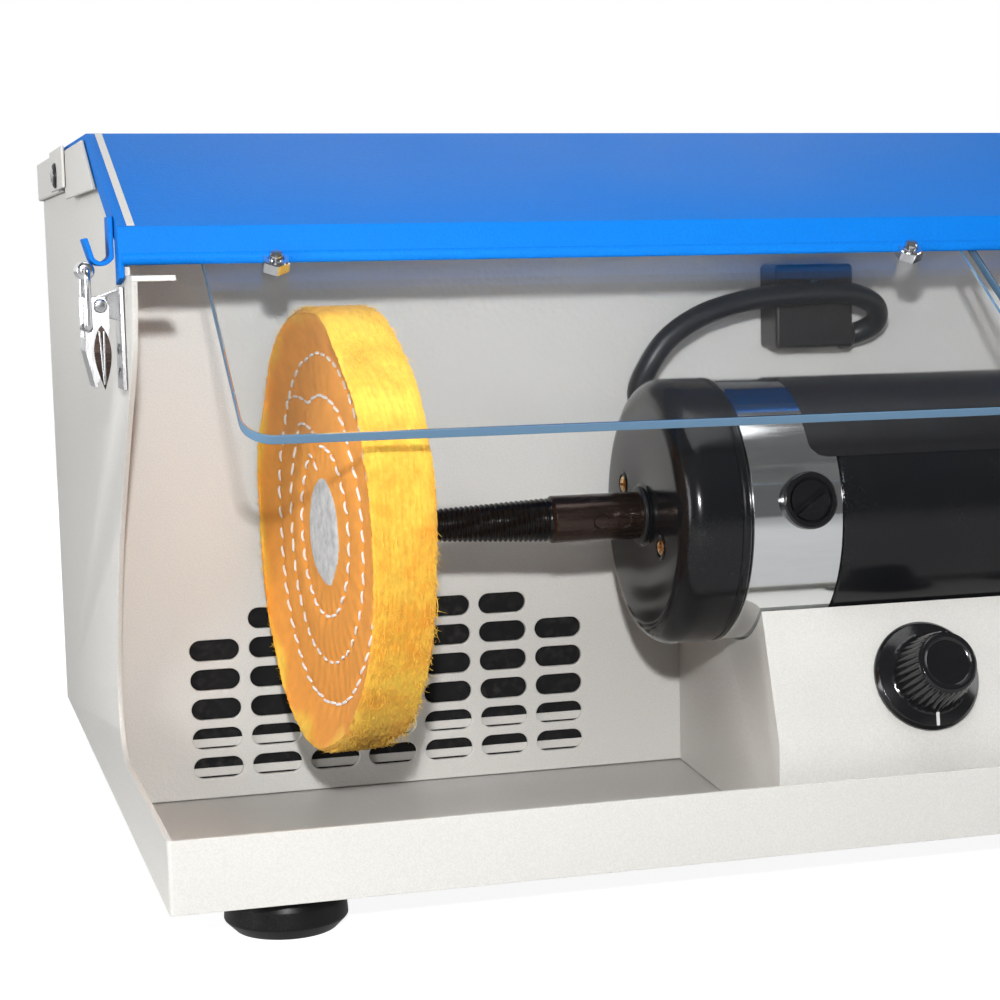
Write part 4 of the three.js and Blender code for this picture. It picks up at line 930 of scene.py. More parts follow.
capScrews = {"radius": 18.9, "lean": 24.0, "steps": 48, "rise": 0.3, "head": (2.4, 1.1),
             "cup": ((0, -0.2), (2.6, -0.2), (2.9, 0.1), (3.4, 0.32), (3.8, 0.1), (3.8, -0.6), (0, -0.6))}


def addCapScrews(look, side, sign, x):
    # two brass screws in shallow cups, on opposite sides of the shaft
    lean = math.radians(look["lean"])
    for index, half in enumerate((0, math.pi)):
        spot = np.array([x, motorAxis[1] + look["radius"] * math.cos(lean + half),
                         motorAxis[2] + look["radius"] * math.sin(lean + half)])
        turnedPiece(f"{side}_cap_screw_cup_{index + 1}", look["cup"], sided(spot, sign), (-sign, 0, 0),
                    blackEnamel, "cabinet", look["steps"])
        crossScrew(f"{side}_cap_screw_{index + 1}", sided(spot + (look["rise"], 0, 0), sign), (-sign, 0, 0),
                   *look["head"], brassScrew, "cabinet")


motorLabel = {"start": -8.5, "end": 92.0, "low": 28.0, "high": 85.0, "corner": 5.0, "lift": 0.15,
              "thickness": 0.12, "rows": 60, "columns": 20}


def addLabel(look):
    # a bare label wrapped round the motor: each row along it is drawn in near the corners by a quarter circle
    low, _ = nodeBox("motor_sleeve")
    radius = motorLook["ringRadius"] + look["lift"]
    start, end, corner = look["start"], look["end"], look["corner"]
    turn = np.radians(np.linspace(look["low"], look["high"], look["rows"]))
    edge = radius * np.minimum(turn - turn[0], turn[-1] - turn)
    drawn = corner - np.sqrt(np.clip(corner ** 2 - np.clip(corner - edge, 0, None) ** 2, 0, None))
    share = np.concatenate([[0.0], np.linspace(0, 1, look["columns"]), [1.0]])
    along = low[0] + start + drawn[:, None] + (end - start - 2 * drawn[:, None]) * share[None]
    height = np.full(along.shape, radius)
    height[:, [0, -1]] -= look["thickness"]
    height[[0, -1]] = radius - look["thickness"]
    angle = turn[:, None] + np.zeros_like(along)
    grid = np.stack([along, motorAxis[1] - height * np.cos(angle), motorAxis[2] + height * np.sin(angle)], -1)
    gridPiece("motor_label", grid, labelBlack, "cabinet", 60.0)


# rimInner, discOuter, slotHalf and the chamfer are shares of the radius; drops are measured from the rim
brushCap = {"radius": 8.3, "height": 3.5, "sink": 1.0, "lean": 9.0, "chamfer": 0.5, "chamferStart": 0.93,
            "chamferWidth": 0.07, "rimInner": 0.78, "discOuter": 0.70, "discDrop": 0.7, "grooveDrop": 1.6,
            "slotTurn": 0.6, "slotHalf": 0.11, "slotDrop": 1.9, "rings": 60, "steps": 144}


def addBrushCaps(look):
    # a black screwed cap: height = rim, less a groove inside it, less the disc's drop, less a coin slot across it
    out = besideAxis(look["lean"], -1)
    share, angle = np.meshgrid(np.linspace(0, 1, look["rings"]), wholeTurn(look["steps"]), indexing="ij")
    inDisc = share < look["discOuter"]
    chamfer = np.clip((share - look["chamferStart"]) / look["chamferWidth"], 0, 1) ** 2
    rim = look["height"] - look["chamfer"] * chamfer
    inSlot = inDisc & (np.abs(share * np.sin(angle - look["slotTurn"])) < look["slotHalf"])
    floor = np.where(inDisc, np.where(inSlot, look["slotDrop"], look["discDrop"]), look["grooveDrop"])
    top = np.where(share > look["rimInner"], rim, look["height"] - floor)
    foot = np.zeros((2, look["steps"]))
    top = np.concatenate([top, foot])
    radius = look["radius"] * np.concatenate([share, foot[:1] + 1, foot[:1]])
    angle = np.concatenate([angle, angle[:2]])
    for side, _ in sides:
        low, high = nodeBox(side + "_brush_cap")
        base = np.array([(low[0] + high[0]) / 2, *motorAxis[1:]]) + out * (motorLook["ringRadius"] - look["sink"])
        cap = gridPiece(f"{side}_brush_holder_cap", aboutAxis(radius, top, angle, base, out), glossBlack,
                        "cabinet", 30.0)
        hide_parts(side + "_brush_cap")


spindleLook = {"tipRadius": 3.2, "rootRadius": 6.3, "taperLength": 62.0, "pitch": 1.52, "depth": 0.55,
               "threadStart": 0.6, "threadEnd": 0.4, "turnSteps": 48, "rowsPerTurn": 8,
               "collarRadius": 7.0, "collarLap": 0.6, "collarChamfer": (0.9, 0.5), "collarRound": 0.25,
               "flingerRadius": 8.6, "flingerChamfer": 0.4, "flingerEnds": (1.4, 1.0, 0.2), "flingerRound": 0.15,
               "grubPlaces": (13.8, 21.0), "grubLean": -5.0, "grubSink": 0.75, "grubRadius": 1.95}


def threadGrid(look):
    # radius = cone + a triangle wave of the length and the turn, so that its ridges climb round the taper
    taper, pitch = look["taperLength"], look["pitch"]
    rows = round(taper / pitch * look["rowsPerTurn"])
    length = np.linspace(look["threadStart"], taper - look["threadEnd"], rows)
    height, angle = np.meshgrid(length, wholeTurn(look["turnSteps"]), indexing="ij")
    cone = look["tipRadius"] + (look["rootRadius"] - look["tipRadius"]) * height / taper
    wave = np.abs(((height / pitch - angle / (2 * math.pi)) % 1.0) * 2 - 1)
    fade = np.clip((taper - look["threadEnd"] - height) / pitch, 0, 1)
    end = np.zeros((1, look["turnSteps"]))
    radius = np.concatenate([end, cone + look["depth"] * (wave - 0.5) * fade, end])
    return radius, height[[0, *range(len(height)), -1]], angle[[0, *range(len(angle)), 0]]


def addSpindles(look):
    taper, r = look["taperLength"], look["collarRadius"]
    chamfer, rise = look["collarChamfer"]
    radius, height, angle = threadGrid(look)
    for side, sign in sides:
        low, high = nodeBox(side + "_spindle")
        start, end = sorted(sided([(low[0], 0, 0), (high[0], 0, 0)], sign)[:, 0])
        length, out = end - start, besideAxis(look["grubLean"], -1)
        place = sided((start, *motorAxis[1:]), sign)
        thread = gridPiece(f"{side}_taper_thread", aboutAxis(radius, height, angle, place, (sign, 0, 0)),
                           threadSteel, "rotor", 50.0)
        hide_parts(side + "_spindle")
        collar = [(0, taper - look["collarLap"]), (r - chamfer, taper - look["collarLap"]), (r, taper + rise),
                  (r, length), (0, length)]
        turnedPiece(f"{side}_collar", roundCorners(collar, look["collarRound"], 3), place, (sign, 0, 0),
                    blackenedSteel, "rotor")
        back, middle, front = (length - step for step in look["flingerEnds"])
        outer = look["flingerRadius"]
        flinger = [(0, back), (outer - look["flingerChamfer"], back), (outer, middle), (outer, front), (0, front)]
        turnedPiece(f"{side}_flinger", roundCorners(flinger, look["flingerRound"], 2), place, (sign, 0, 0),
                    satinBlack, "rotor", 72)
        for index, along in enumerate(look["grubPlaces"]):
            spot = sided((start + taper + along, *motorAxis[1:]), sign) + out * (r - look["grubSink"])
            addGrub(f"{side}_grub_screw_{index + 1}", spot, out, look["grubRadius"])


# Shares of the screw's radius, and heights in millimetres; the first socketRows rows are six sided
grubProfile = {"radii": (0, 0.55, 0.55, 0.9, 1.0, 1.16, 1.3, 1.3, 0),
               "heights": (-0.4, -0.4, 0.45, 0.5, 0.74, 0.92, 0.72, -0.6, -0.6), "socketRows": 3, "steps": 36}


def addGrub(name, spot, out, radius):
    # a socket screw below the surface: chamfered hole's lip, screw face and a six sided socket
    look = grubProfile
    r, angle = np.meshgrid(radius * np.array(look["radii"]), wholeTurn(look["steps"]), indexing="ij")
    r[:look["socketRows"]] *= hexagonReach(angle[0]) * math.cos(math.pi / 6)
    height = np.repeat(np.array(look["heights"])[:, None], look["steps"], 1)
    gridPiece(name, aboutAxis(r, height, angle, spot, out), blackenedSteel, "rotor", 30.0)


def hexagonReach(turn):
    # how far a hexagon whose flats are one unit from its middle reaches at a turn
    return 1 / np.cos((turn + math.pi / 6) % (math.pi / 3) - math.pi / 6)


leadRoute = ((180.5, 112.5, 105.5), (176.5, 113.5, 110.5), (170.5, 111.5, 116), (166, 107.5, 124.5),
             (168.8, 105, 133), (175.2, 104.2, 141.5), (186.2, 104.2, 148.3), (201.7, 104.2, 152.7),
             (220.9, 104.2, 154.6), (238.6, 104.4, 154.2), (248, 107, 150), (250.2, 112, 144.6))
leadLook = {"radius": 3.55, "steps": 160, "sides": 24, "lean": 10.0, "glandLength": 7.0, "glandInset": 1.5,
            "straight": 5.0, "blockEnd": (-1.0, 4.0), "lastBend": 4.5}
glandLook = {"sink": 0.8, "ribs": 4, "firstRib": 2.6, "ribPitch": 1.15, "ribTaper": 0.3, "ribDepth": 0.7,
             "ribShape": ((0, 0), (0, 0.6), (1, 0.75), (1, 1.0)), "mouthWall": 0.3, "height": 7.4,
             "rounding": 0.12, "steps": 48}
blockLook = {"rounding": 1.2, "screwInset": 0.1, "screwDrop": 8.0, "screwHead": (2.8, 1.1), "mouthStep": 1.0,
             "mouth": ((0, -1.5), (5.2, -1.5), (5.2, 1.2), (4.0, 2.2), (0, 2.2)), "mouthRound": 0.4, "steps": 48}


def glandProfile(look, radius, lead):
    # a tapering sleeve with ribs round it: each rib is a little narrower than the one below it
    ribs = [(0, 0), (radius, 0)]
    for step in range(look["ribs"]):
        top = radius - look["ribTaper"] * step
        base = look["firstRib"] + look["ribPitch"] * step
        ribs += [(top - look["ribDepth"] * inner, base + rise) for inner, rise in look["ribShape"]]
    ribs += [(lead + look["mouthWall"], look["height"]), (0, look["height"])]
    return roundCorners(ribs, look["rounding"], 2)


def addLead(look, gland, block):
    # the lead runs from the gland behind the motor round a loop into the block on the wall
    out = besideAxis(look["lean"], 1)
    glandLow, glandHigh = nodeBox("lead_gland")
    base = np.array([(glandLow[0] + glandHigh[0]) / 2, *motorAxis[1:]])
    start = base + out * (motorLook["ringRadius"] + look["glandLength"] - look["glandInset"])
    blockLow, blockHigh = nodeBox("lead_block")
    inwards, rise = look["blockEnd"]
    end = np.array([blockHigh[0] + inwards, (blockLow[1] + blockHigh[1]) / 2, blockLow[2] + rise])
    route = [start, start + out * look["straight"], *leadRoute, end + (look["lastBend"], 0, 0), end]
    lead = tubePiece("motor_cable", smoothPath(route, look["steps"]), look["radius"], cableSheath, "cabinet",
                     look["sides"])
    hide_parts("motor_lead")
    sleeve = turnedPiece("cable_gland", glandProfile(gland, (glandHigh[0] - glandLow[0]) / 2, look["radius"]),
                         base + out * (motorLook["ringRadius"] - gland["sink"]), out, satinBlack, "cabinet",
                         gland["steps"])
    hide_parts("lead_gland")
    softened("lead_block", satinBlack, block["rounding"], 3)
    spot = ((blockLow[0] + blockHigh[0]) / 2, blockLow[1] + block["screwInset"], blockHigh[2] - block["screwDrop"])
    crossScrew("lead_block_screw", spot, (0, -1, 0), *block["screwHead"], platedSteel, "cabinet")
    turnedPiece("lead_block_mouth", roundCorners(block["mouth"], block["mouthRound"], 3),
                end + (block["mouthStep"], 0, 0), (1, 0, 0), satinBlack, "cabinet", block["steps"])


addMotor(motorLook)
addLabel(motorLabel)
addBrushCaps(brushCap)
addSpindles(spindleLook)
addLead(leadLook, glandLook, blockLook)
print("motor dressed")

# Cloth buffs: stitched face, flared and frayed rim, threads and fibres
buffLook = {
    "radius": 62.6, "rimThickness": 17.4, "coreThickness": 9.6, "lean": 5.0, "edge": 1.6, "seed": 7,
    "turnSteps": 420, "faceRows": 58, "rimRows": 34, "faceStart": 2.0, "smooth": 80.0,
    "dishStart": 50.0, "flarePower": 1.35, "puff": 0.5, "puffWaves": 2.5,
    "sagWaves": (0.5, 0.32, 0.22, 0.2, 0.14, 0.16, 0.1, 0.12, 0.08), "sagShare": 0.75,
    "ringRadii": (49.5, 37.5, 24.4), "stitchDip": 0.55, "stitchWidth": 1.4,
    "puckerHeight": 0.16, "puckerWidth": 5.0, "puckerPitch": 1.07,
}
# how the rim swells, frays and shows its plies, and where the face's orange ends
rimLook = {
    "swell": 0.35, "roundness": 0.9, "edgePower": 6,
    "bulgeWaves": (0.45, 0.35, 0.3, 0.25, 0.2, 0.2, 0.15, 0.15, 0.1, 0.1, 0.1, 0.1),
    "wobbleWaves": (1.2, 0.9, 0.7, 0.5), "wobbleFirst": 5, "wobbleShare": 0.45, "plyPitch": 0.95,
    "plyHeight": 0.20, "fray": 0.16, "shift": 0.07, "fadeReach": 4.2, "fadeWaves": 1.1,
    "fadePhases": (0.3, 1.7, 4.1), "fadeFirst": 11, "fadeWidth": 3.0,
}


def wavesAround(angle, strengths, phases, first=2):
    # a sum of sines of whole numbers of waves round the buff
    return sum(strength * np.sin((first + n) * angle + phase)
               for n, (strength, phase) in enumerate(zip(strengths, phases)))


def faceHeight(look, radius, angle, random):
    # how far the face stands out: core, flare towards the rim, dips at the seams and puffs between them
    core, flared, dish = look["coreThickness"] / 2, look["rimThickness"] / 2, look["dishStart"]
    share = np.clip((radius - dish) / (look["radius"] - dish), 0, 1)
    height = core + (flared - core) * share ** look["flarePower"]
    puff = np.sin(np.clip(radius / dish, 0, 1) * look["puffWaves"] * math.pi) ** 2
    height = height + look["puff"] * puff * (share < 1)
    for ring in look["ringRadii"]:
        near = np.exp(-((radius - ring) / look["stitchWidth"]) ** 2)
        wide = np.exp(-((radius - ring) / look["puckerWidth"]) ** 2)
        pucker = look["puckerHeight"] * np.sin(angle * round(ring * look["puckerPitch"]) + ring)
        height = height - look["stitchDip"] * near + pucker * wide
    phases = random.uniform(0, 2 * math.pi, len(look["sagWaves"]))
    sag = wavesAround(angle, look["sagWaves"], phases)
    return height + sag * (radius / look["radius"]) ** 2 * look["sagShare"]


def buffFrame(look, side, sign):
    # centre, axis towards the outer face, then the directions to the back and up
    low, high = nodeBox(side + "_buff")
    lean = math.radians(look["lean"])
    outward = np.array([-math.cos(lean) * sign, -math.sin(lean), 0])
    back = np.array([-math.sin(lean) * sign, math.cos(lean), 0])
    return np.array([(low[0] + high[0]) / 2, *motorAxis[1:]]), outward, back, np.array([0, 0, 1.0])


def inBuff(placing, height, radius, angle):
    # height along the axis, radius and turn from the back over the top, as whole arrays
    centre, outward, back, up = placing
    return centre + height[..., None] * outward + radius[..., None] * (
        np.cos(angle)[..., None] * back + np.sin(angle)[..., None] * up)


def buffGrid(look, rim, random):
    # heights, radii and turns of the whole skin: outer face, edge, rim, edge and inner face
    turn = wholeTurn(look["turnSteps"])
    body, edge = look["radius"] - look["edge"], look["edge"]
    radii = np.concatenate([[0.0], np.linspace(look["faceStart"], body, look["faceRows"])])
    r, a = np.meshgrid(radii, turn, indexing="ij")
    outer = faceHeight(look, r, a, random)
    inner = -faceHeight(look, r, a, random)
    across = np.linspace(1, -1, look["rimRows"])[:, None] * np.ones_like(turn)[None]
    top, bottom = outer[-1:], inner[-1:]
    middle, half = (top + bottom) / 2, (top - bottom) / 2 + edge * rim["swell"]
    rimHeight = middle + half * np.sign(across) * np.abs(across) ** rim["roundness"]
    phases = random.uniform(0, 2 * math.pi, len(rim["bulgeWaves"]))
    bulge = wavesAround(turn, rim["bulgeWaves"], phases)
    wobble = wavesAround(turn, rim["wobbleWaves"], phases[::-1], rim["wobbleFirst"])
    plies = np.cos(2 * math.pi * (rimHeight + rim["wobbleShare"] * wobble[None]) / rim["plyPitch"])
    fray = random.normal(0, rim["fray"], across.shape)
    rounding = edge * (1 - np.abs(across) ** rim["edgePower"])
    rimRadius = body + rounding + bulge[None] + rim["plyHeight"] * plies + fray
    rimHeight = rimHeight + random.normal(0, rim["shift"], across.shape)
    height = np.concatenate([outer, rimHeight, inner[::-1]])
    radius = np.concatenate([r, rimRadius, r[::-1]])
    angle = np.concatenate([a, np.repeat(turn[None], look["rimRows"], 0), a[::-1]])
    ragged = rim["fadeWaves"] * wavesAround(a, (1, 1, 1), rim["fadePhases"], rim["fadeFirst"])
    fade = np.clip((r - (look["radius"] - rim["fadeReach"] + ragged)) / rim["fadeWidth"], 0, 1)
    return height, radius, angle, np.concatenate([fade, np.ones_like(across), fade[::-1]])


def addBuff(look, side, sign):
    random = np.random.default_rng(look["seed"] + (0 if sign > 0 else 1))
    placing = buffFrame(look, side, sign)
    height, radius, angle, share = buffGrid(look, rimLook, random)
    grid = inBuff(placing, height, radius, angle)
    mesh = meshOf(side + "_cloth_buff", grid, gridFaces(grid.shape[0], grid.shape[1]))
    attribute = mesh.attributes.new("rimShare", "FLOAT", "POINT")
    attribute.data.foreach_set("value", share.ravel().astype(np.float32))
    loops = np.zeros(len(mesh.loops), np.int32)
    mesh.loops.foreach_get("vertex_index", loops)
    flat = np.stack([radius.ravel() * np.cos(angle.ravel()), radius.ravel() * np.sin(angle.ravel())], 1)
    mesh.uv_layers.new(name="clothUv").data.foreach_set("uv", flat[loops].ravel())
    closeUp(mesh)
    piece = finishPiece(side + "_cloth_buff", mesh, buffCloth, "rotor", look["smooth"])
    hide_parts(side + "_buff")
    addPatch(patchLook, side, placing, random)
    addSeam(seamLook, side, placing, random)
    addFibres(fibreLook, side, placing, random)
    addLooseThreads(threadLook, side, placing, random)


patchLook = {"radius": 15.4, "height": 0.7, "rows": 14, "steps": 120, "waves": (0.16, 0.14, 0.12, 0.1, 0.08),
             "firstWave": 3, "fullness": 1.04, "roundness": 8, "grain": 0.03, "sink": 0.6}


def addPatch(look, side, placing, random):
    # a fibre disc on each face, uneven at its edge: height = root of one minus a high power of the radius
    turn = wholeTurn(look["steps"])
    share = np.concatenate([np.linspace(0, 1, look["rows"]), [1.0]])
    r, a = np.meshgrid(share, turn, indexing="ij")
    rough = wavesAround(turn, look["waves"], random.uniform(0, 6, len(look["waves"])), look["firstWave"])
    radius = r * (look["radius"] + rough[None])
    base = buffLook["coreThickness"] / 2
    for face, way in (("outer", 1), ("inner", -1)):
        crown = np.sqrt(np.clip(look["fullness"] - r ** look["roundness"], 0, 1))
        top = base + look["height"] * crown + random.normal(0, look["grain"], r.shape)
        top[-1] = base - look["sink"]
        gridPiece(f"{side}_patch_{face}", inBuff(placing, way * top, radius, a), centrePatch, "rotor", 60.0)


# turns says where the seam starts, leaves one ring, joins the next and ends, in degrees from the back over the top
seamLook = {"turns": (44.5, 404.5, 428.0, 767.0, 805.0, 1140.0, 1160.0), "rings": (0, 0, 1, 1, 2, 2),
            "lastGap": 0.3, "samples": 6000, "length": 4.2, "lengthSpread": 0.4, "pitch": 5.9, "pitchSpread": 0.25,
            "stray": 0.12, "radius": 0.47, "roundness": 4, "flatness": 0.8, "lift": 0.12, "arch": 0.35,
            "rows": 9, "sides": 8}


def addSeam(look, side, placing, random):
    # one thread spirals through three rings to the patch: radius is read from the turns where it changes ring
    rings = [buffLook["ringRadii"][n] for n in look["rings"]] + [patchLook["radius"] + look["lastGap"]]
    angle = np.radians(np.linspace(look["turns"][0], look["turns"][-1], look["samples"]))
    radius = np.interp(np.degrees(angle), look["turns"], rings)
    step = np.hypot(np.diff(radius), radius[1:] * np.diff(angle))
    travelled = np.concatenate([[0], np.cumsum(step)])
    count = int(travelled[-1] / look["pitch"])
    starts = np.arange(count) * look["pitch"] + random.uniform(-look["pitchSpread"], look["pitchSpread"], count)
    lengths = look["length"] + random.uniform(-look["lengthSpread"], look["lengthSpread"], count)
    share = np.linspace(0, 1, look["rows"])
    along = starts[:, None] + lengths[:, None] * share[None]
    a = np.interp(along, travelled, angle)
    r = np.interp(along, travelled, radius) + random.normal(0, look["stray"], count)[:, None]
    # each stitch is a small sausage: thread radius times the root of one minus a high power of its length
    thick = look["radius"] * np.sqrt(np.clip(1 - np.abs(2 * share - 1) ** look["roundness"], 0, 1))
    around = wholeTurn(look["sides"])
    faces = copiesOf(gridFaces(look["rows"], look["sides"]), count, look["rows"] * look["sides"])
    for face, way in (("outer", 1), ("inner", -1)):
        height = faceHeight(buffLook, r, a, np.random.default_rng(buffLook["seed"]))
        height = height + look["lift"] + look["arch"] * np.sin(math.pi * share)[None] ** 0.5
        radial = r[..., None] + thick[None, :, None] * np.cos(around)
        axial = way * (height[..., None] + look["flatness"] * thick[None, :, None] * np.sin(around))
        grid = inBuff(placing, axial, radial, np.repeat(a[..., None], len(around), 2))
        mesh = meshOf(f"{side}_seam_{face}", grid, faces)
        closeUp(mesh)
        finishPiece(f"{side}_seam_{face}", mesh, stitchThread, "rotor", buffLook["smooth"])


def strandPiece(name, roots, bends, tips, radius, steps=3, rows=5):
    # many thin strands at once: each follows a quadratic curve past its bend and thins to a quarter at its tip
    t = np.linspace(0, 1, rows)[None, :, None]
    line = (1 - t) ** 2 * roots[:, None] + 2 * t * (1 - t) * bends[:, None] + t ** 2 * tips[:, None]
    tangent = np.gradient(line, axis=1)
    tangent /= np.linalg.norm(tangent, axis=2, keepdims=True) + 1e-9
    helper = np.where(np.abs(tangent[..., 2:]) < 0.9, [0, 0, 1.0], [1.0, 0, 0])
    first = np.cross(helper, tangent)
    first /= np.linalg.norm(first, axis=2, keepdims=True) + 1e-9
    second = np.cross(tangent, first)
    turn = wholeTurn(steps)
    taper = radius * (1 - 0.75 * t[0, :, 0] ** 2)
    ring = np.cos(turn)[:, None] * first[:, :, None] + np.sin(turn)[:, None] * second[:, :, None]
    grid = line[:, :, None] + taper[None, :, None, None] * ring
    ends = [np.arange(steps)[::-1], (rows - 1) * steps + np.arange(steps)]
    faces = [copiesOf(part, len(roots), rows * steps).tolist() for part in (gridFaces(rows, steps), ends)]
    finishPiece(name, meshOf(name, grid, faces[0] + faces[1]), tuftFibre, "rotor", buffLook["smooth"])


fibreLook = {"count": 7500, "length": (0.6, 1.9), "radius": 0.065, "edgePower": 0.6, "sink": 0.5,
             "leanSpread": 0.9, "lean": 0.5, "flareSpread": 0.45, "flare": 0.35, "flareFrom": 0.8, "tip": 0.55,
             "bend": 0.5, "bendLean": 0.3}


def addFibres(look, side, placing, random):
    # short fibres stand out of the rim, more of them at its two edges
    count, half, body = look["count"], buffLook["rimThickness"] / 2, buffLook["radius"]
    height = random.uniform(-1, 1, count)
    height = np.sign(height) * np.abs(height) ** look["edgePower"] * half
    angle = random.uniform(0, 2 * math.pi, count)
    radius = np.full(count, body - look["sink"])
    length = random.uniform(*look["length"], count)
    lean = length * (random.normal(0, look["leanSpread"], count) + look["lean"]) / body
    atEdge = np.abs(height) > half * look["flareFrom"]
    flare = random.normal(0, look["flareSpread"], count) + look["flare"] * np.sign(height) * atEdge
    bends = inBuff(placing, height, radius + length * look["bend"], angle + lean * look["bendLean"])
    tips = inBuff(placing, height + length * flare, radius + length * look["tip"], angle + lean)
    strandPiece(side + "_rim_fibres", inBuff(placing, height, radius, angle), bends, tips, look["radius"])


threadLook = {"count": 7, "radius": 0.11, "edgeShare": 0.95, "sink": 0.8, "reach": (3.5, 7.0), "bendShare": 0.6,
              "bendRise": 1.5, "bendSpread": 1.1, "tipSpread": (0.9, 1.25), "tipRise": 2.2, "sides": 4, "rows": 9}


def addLooseThreads(look, side, placing, random):
    # a few long threads hang loose from the rim's edges
    count, body = look["count"], buffLook["radius"]
    angle = random.uniform(0, 2 * math.pi, count)
    height = random.choice([-1, 1], count) * buffLook["rimThickness"] / 2 * look["edgeShare"]
    radius = np.full(count, body - look["sink"])
    reach = random.uniform(*look["reach"], count) / body
    bends = inBuff(placing, height * look["bendSpread"], radius + look["bendRise"],
                   angle + reach * look["bendShare"])
    tips = inBuff(placing, height * random.uniform(*look["tipSpread"], count),
                  radius + random.uniform(0, look["tipRise"], count), angle + reach)
    strandPiece(side + "_loose_threads", inBuff(placing, height, radius, angle), bends, tips, look["radius"],
                look["sides"], look["rows"])


for side, sign in sides:
    addBuff(buffLook, side, sign)
print("buffs sewn")

# Speed knob and rocker switch on the pedestal's sloped face
controlFace = {"start": (12.5, 29.0), "brow": (29.0, 65.4), "share": 0.42, "knobX": 225.0, "switchX": 275.0}
slope = np.array(controlFace["brow"]) - controlFace["start"]
faceUp = np.array([0, *(slope / np.linalg.norm(slope))])
faceOut = np.cross([1.0, 0, 0], faceUp)


def onFace(x, up=0.0, out=0.0):
    # a place on the sloped face, so far up it and out of it from the controls' line
    line = np.array([0, *controlFace["start"]]) + controlFace["share"] * np.array([0, *slope])
    return line + (x, 0, 0) + up * faceUp + out * faceOut


# Profiles of radius and height; gripFlutes is how deep the flutes are at each row of the grip and above it
knobLook = {"flutes": 32, "fluteDepth": 0.75, "fluteRound": 0.8, "stepsPerFlute": 8,
            "skirt": ((0, 0.3), (16.5, 0.3), (16.5, 1.7), (15.6, 2.9), (12.4, 3.9), (12.0, 4.1)),
            "grip": ((11.8, 4.2), (11.3, 6.0), (10.7, 9.0), (10.2, 12.0), (9.75, 14.6)),
            "skirtRound": 0.5, "gripFlutes": (0.6, 1, 1, 1, 1, 0.9, 0.35),
            "top": ((9.6, 15.4), (9.1, 16.7), (8.4, 17.3), (7.4, 17.3), (7.0, 16.8), (6.6, 16.6), (0, 16.75)),
            "topRound": 0.25, "pointerNear": 11.7, "pointerFar": 15.7, "pointerWidth": 1.0, "pointerRound": 0.3,
            "pointerThickness": 0.3, "pointerEdge": 0.08, "skirtFall": 1.0 / 3.2, "skirtTop": 7.86}


def addKnob(look):
    # grip radius = profile less depth times one minus the root of a cosine's size, so ribs are round
    turn = wholeTurn(look["flutes"] * look["stepsPerFlute"])
    skirt = roundCorners(look["skirt"], look["skirtRound"])
    top = roundCorners(look["top"], look["topRound"], 3)
    profile = np.concatenate([skirt, look["grip"], top])
    fluted = np.zeros(len(profile))
    fluted[len(skirt):len(skirt) + len(look["gripFlutes"])] = look["gripFlutes"]
    flute = 1 - np.abs(np.cos(look["flutes"] * turn / 2)) ** look["fluteRound"]
    radius = np.maximum(profile[:, :1] - look["fluteDepth"] * fluted[:, None] * flute[None], 0)
    height = np.repeat(profile[:, 1:], len(turn), 1)
    angle = np.repeat(turn[None], len(profile), 0)
    knob = gridPiece("fluted_knob", aboutAxis(radius, height, angle, onFace(controlFace["knobX"]), faceOut),
                     glossBlack, "knob", 40.0)
    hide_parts("speed_knob")
    near, fall, half = look["pointerNear"], look["skirtFall"], look["pointerWidth"] / 2
    down = -(faceUp + fall * faceOut) / math.hypot(1.0, fall)
    bar = roundedRectangle(-half, half, 0, look["pointerFar"] - near, look["pointerRound"], 3)
    platePiece("knob_pointer", [bar], onFace(controlFace["knobX"], -near, look["skirtTop"] - fall * near),
               (1, 0, 0), down, look["pointerThickness"], look["pointerEdge"], markWhite, "knob")


switchLook = {"frameEdge": 0.6, "rockerEdge": 0.5, "barHalf": (0.25, 1.7), "barRound": 0.15,
              "ringRadii": (1.7, 1.25), "markUp": 4.1, "barOut": 2.26, "ringOut": 2.33, "ringLean": 17.0,
              "markThickness": 0.14, "markEdge": 0.04}


def addSwitch(look):
    # a plain bar on the rocker's upper half, and a ring that leans with the lower half
    softened("switch_frame", satinBlack, look["frameEdge"], 3)
    softened("power_rocker", glossBlack, look["rockerEdge"], 3)
    x, up, thickness, edge = controlFace["switchX"], look["markUp"], look["markThickness"], look["markEdge"]
    across, along = look["barHalf"]
    bar = roundedRectangle(-across, across, -along, along, look["barRound"], 3)
    platePiece("rocker_bar_mark", [bar], onFace(x, up, look["barOut"]), (1, 0, 0), faceUp, thickness, edge,
               markWhite, "rocker")
    lean = math.radians(look["ringLean"])
    platePiece("rocker_ring_mark", [circleOutline(radius) for radius in look["ringRadii"]],
               onFace(x, -up, look["ringOut"] + up * math.tan(lean)), (1, 0, 0),
               math.cos(lean) * faceUp - math.sin(lean) * faceOut, thickness, edge, markWhite, "rocker")


addKnob(knobLook)
addSwitch(switchLook)

# Clear shields and their nuts
shieldLook = {"left": 21.0, "right": 248.0, "run": 83.0, "tuck": 8.0, "corner": 8.0, "thickness": 3.0,
              "lean": 34.8, "hem": (40.75, 170.4), "hemRadius": 2.0, "edge": 0.35, "cutShare": 0.9,
              "nuts": (40.2, 229.0), "nutAlong": 10.4, "nutHalf": 3.55, "nutHeight": 3.2}
shieldLean = math.radians(shieldLook["lean"])
shieldDown = np.array([0, -math.cos(shieldLean), -math.sin(shieldLean)])
shieldUnder = np.cross([1.0, 0, 0], shieldDown)


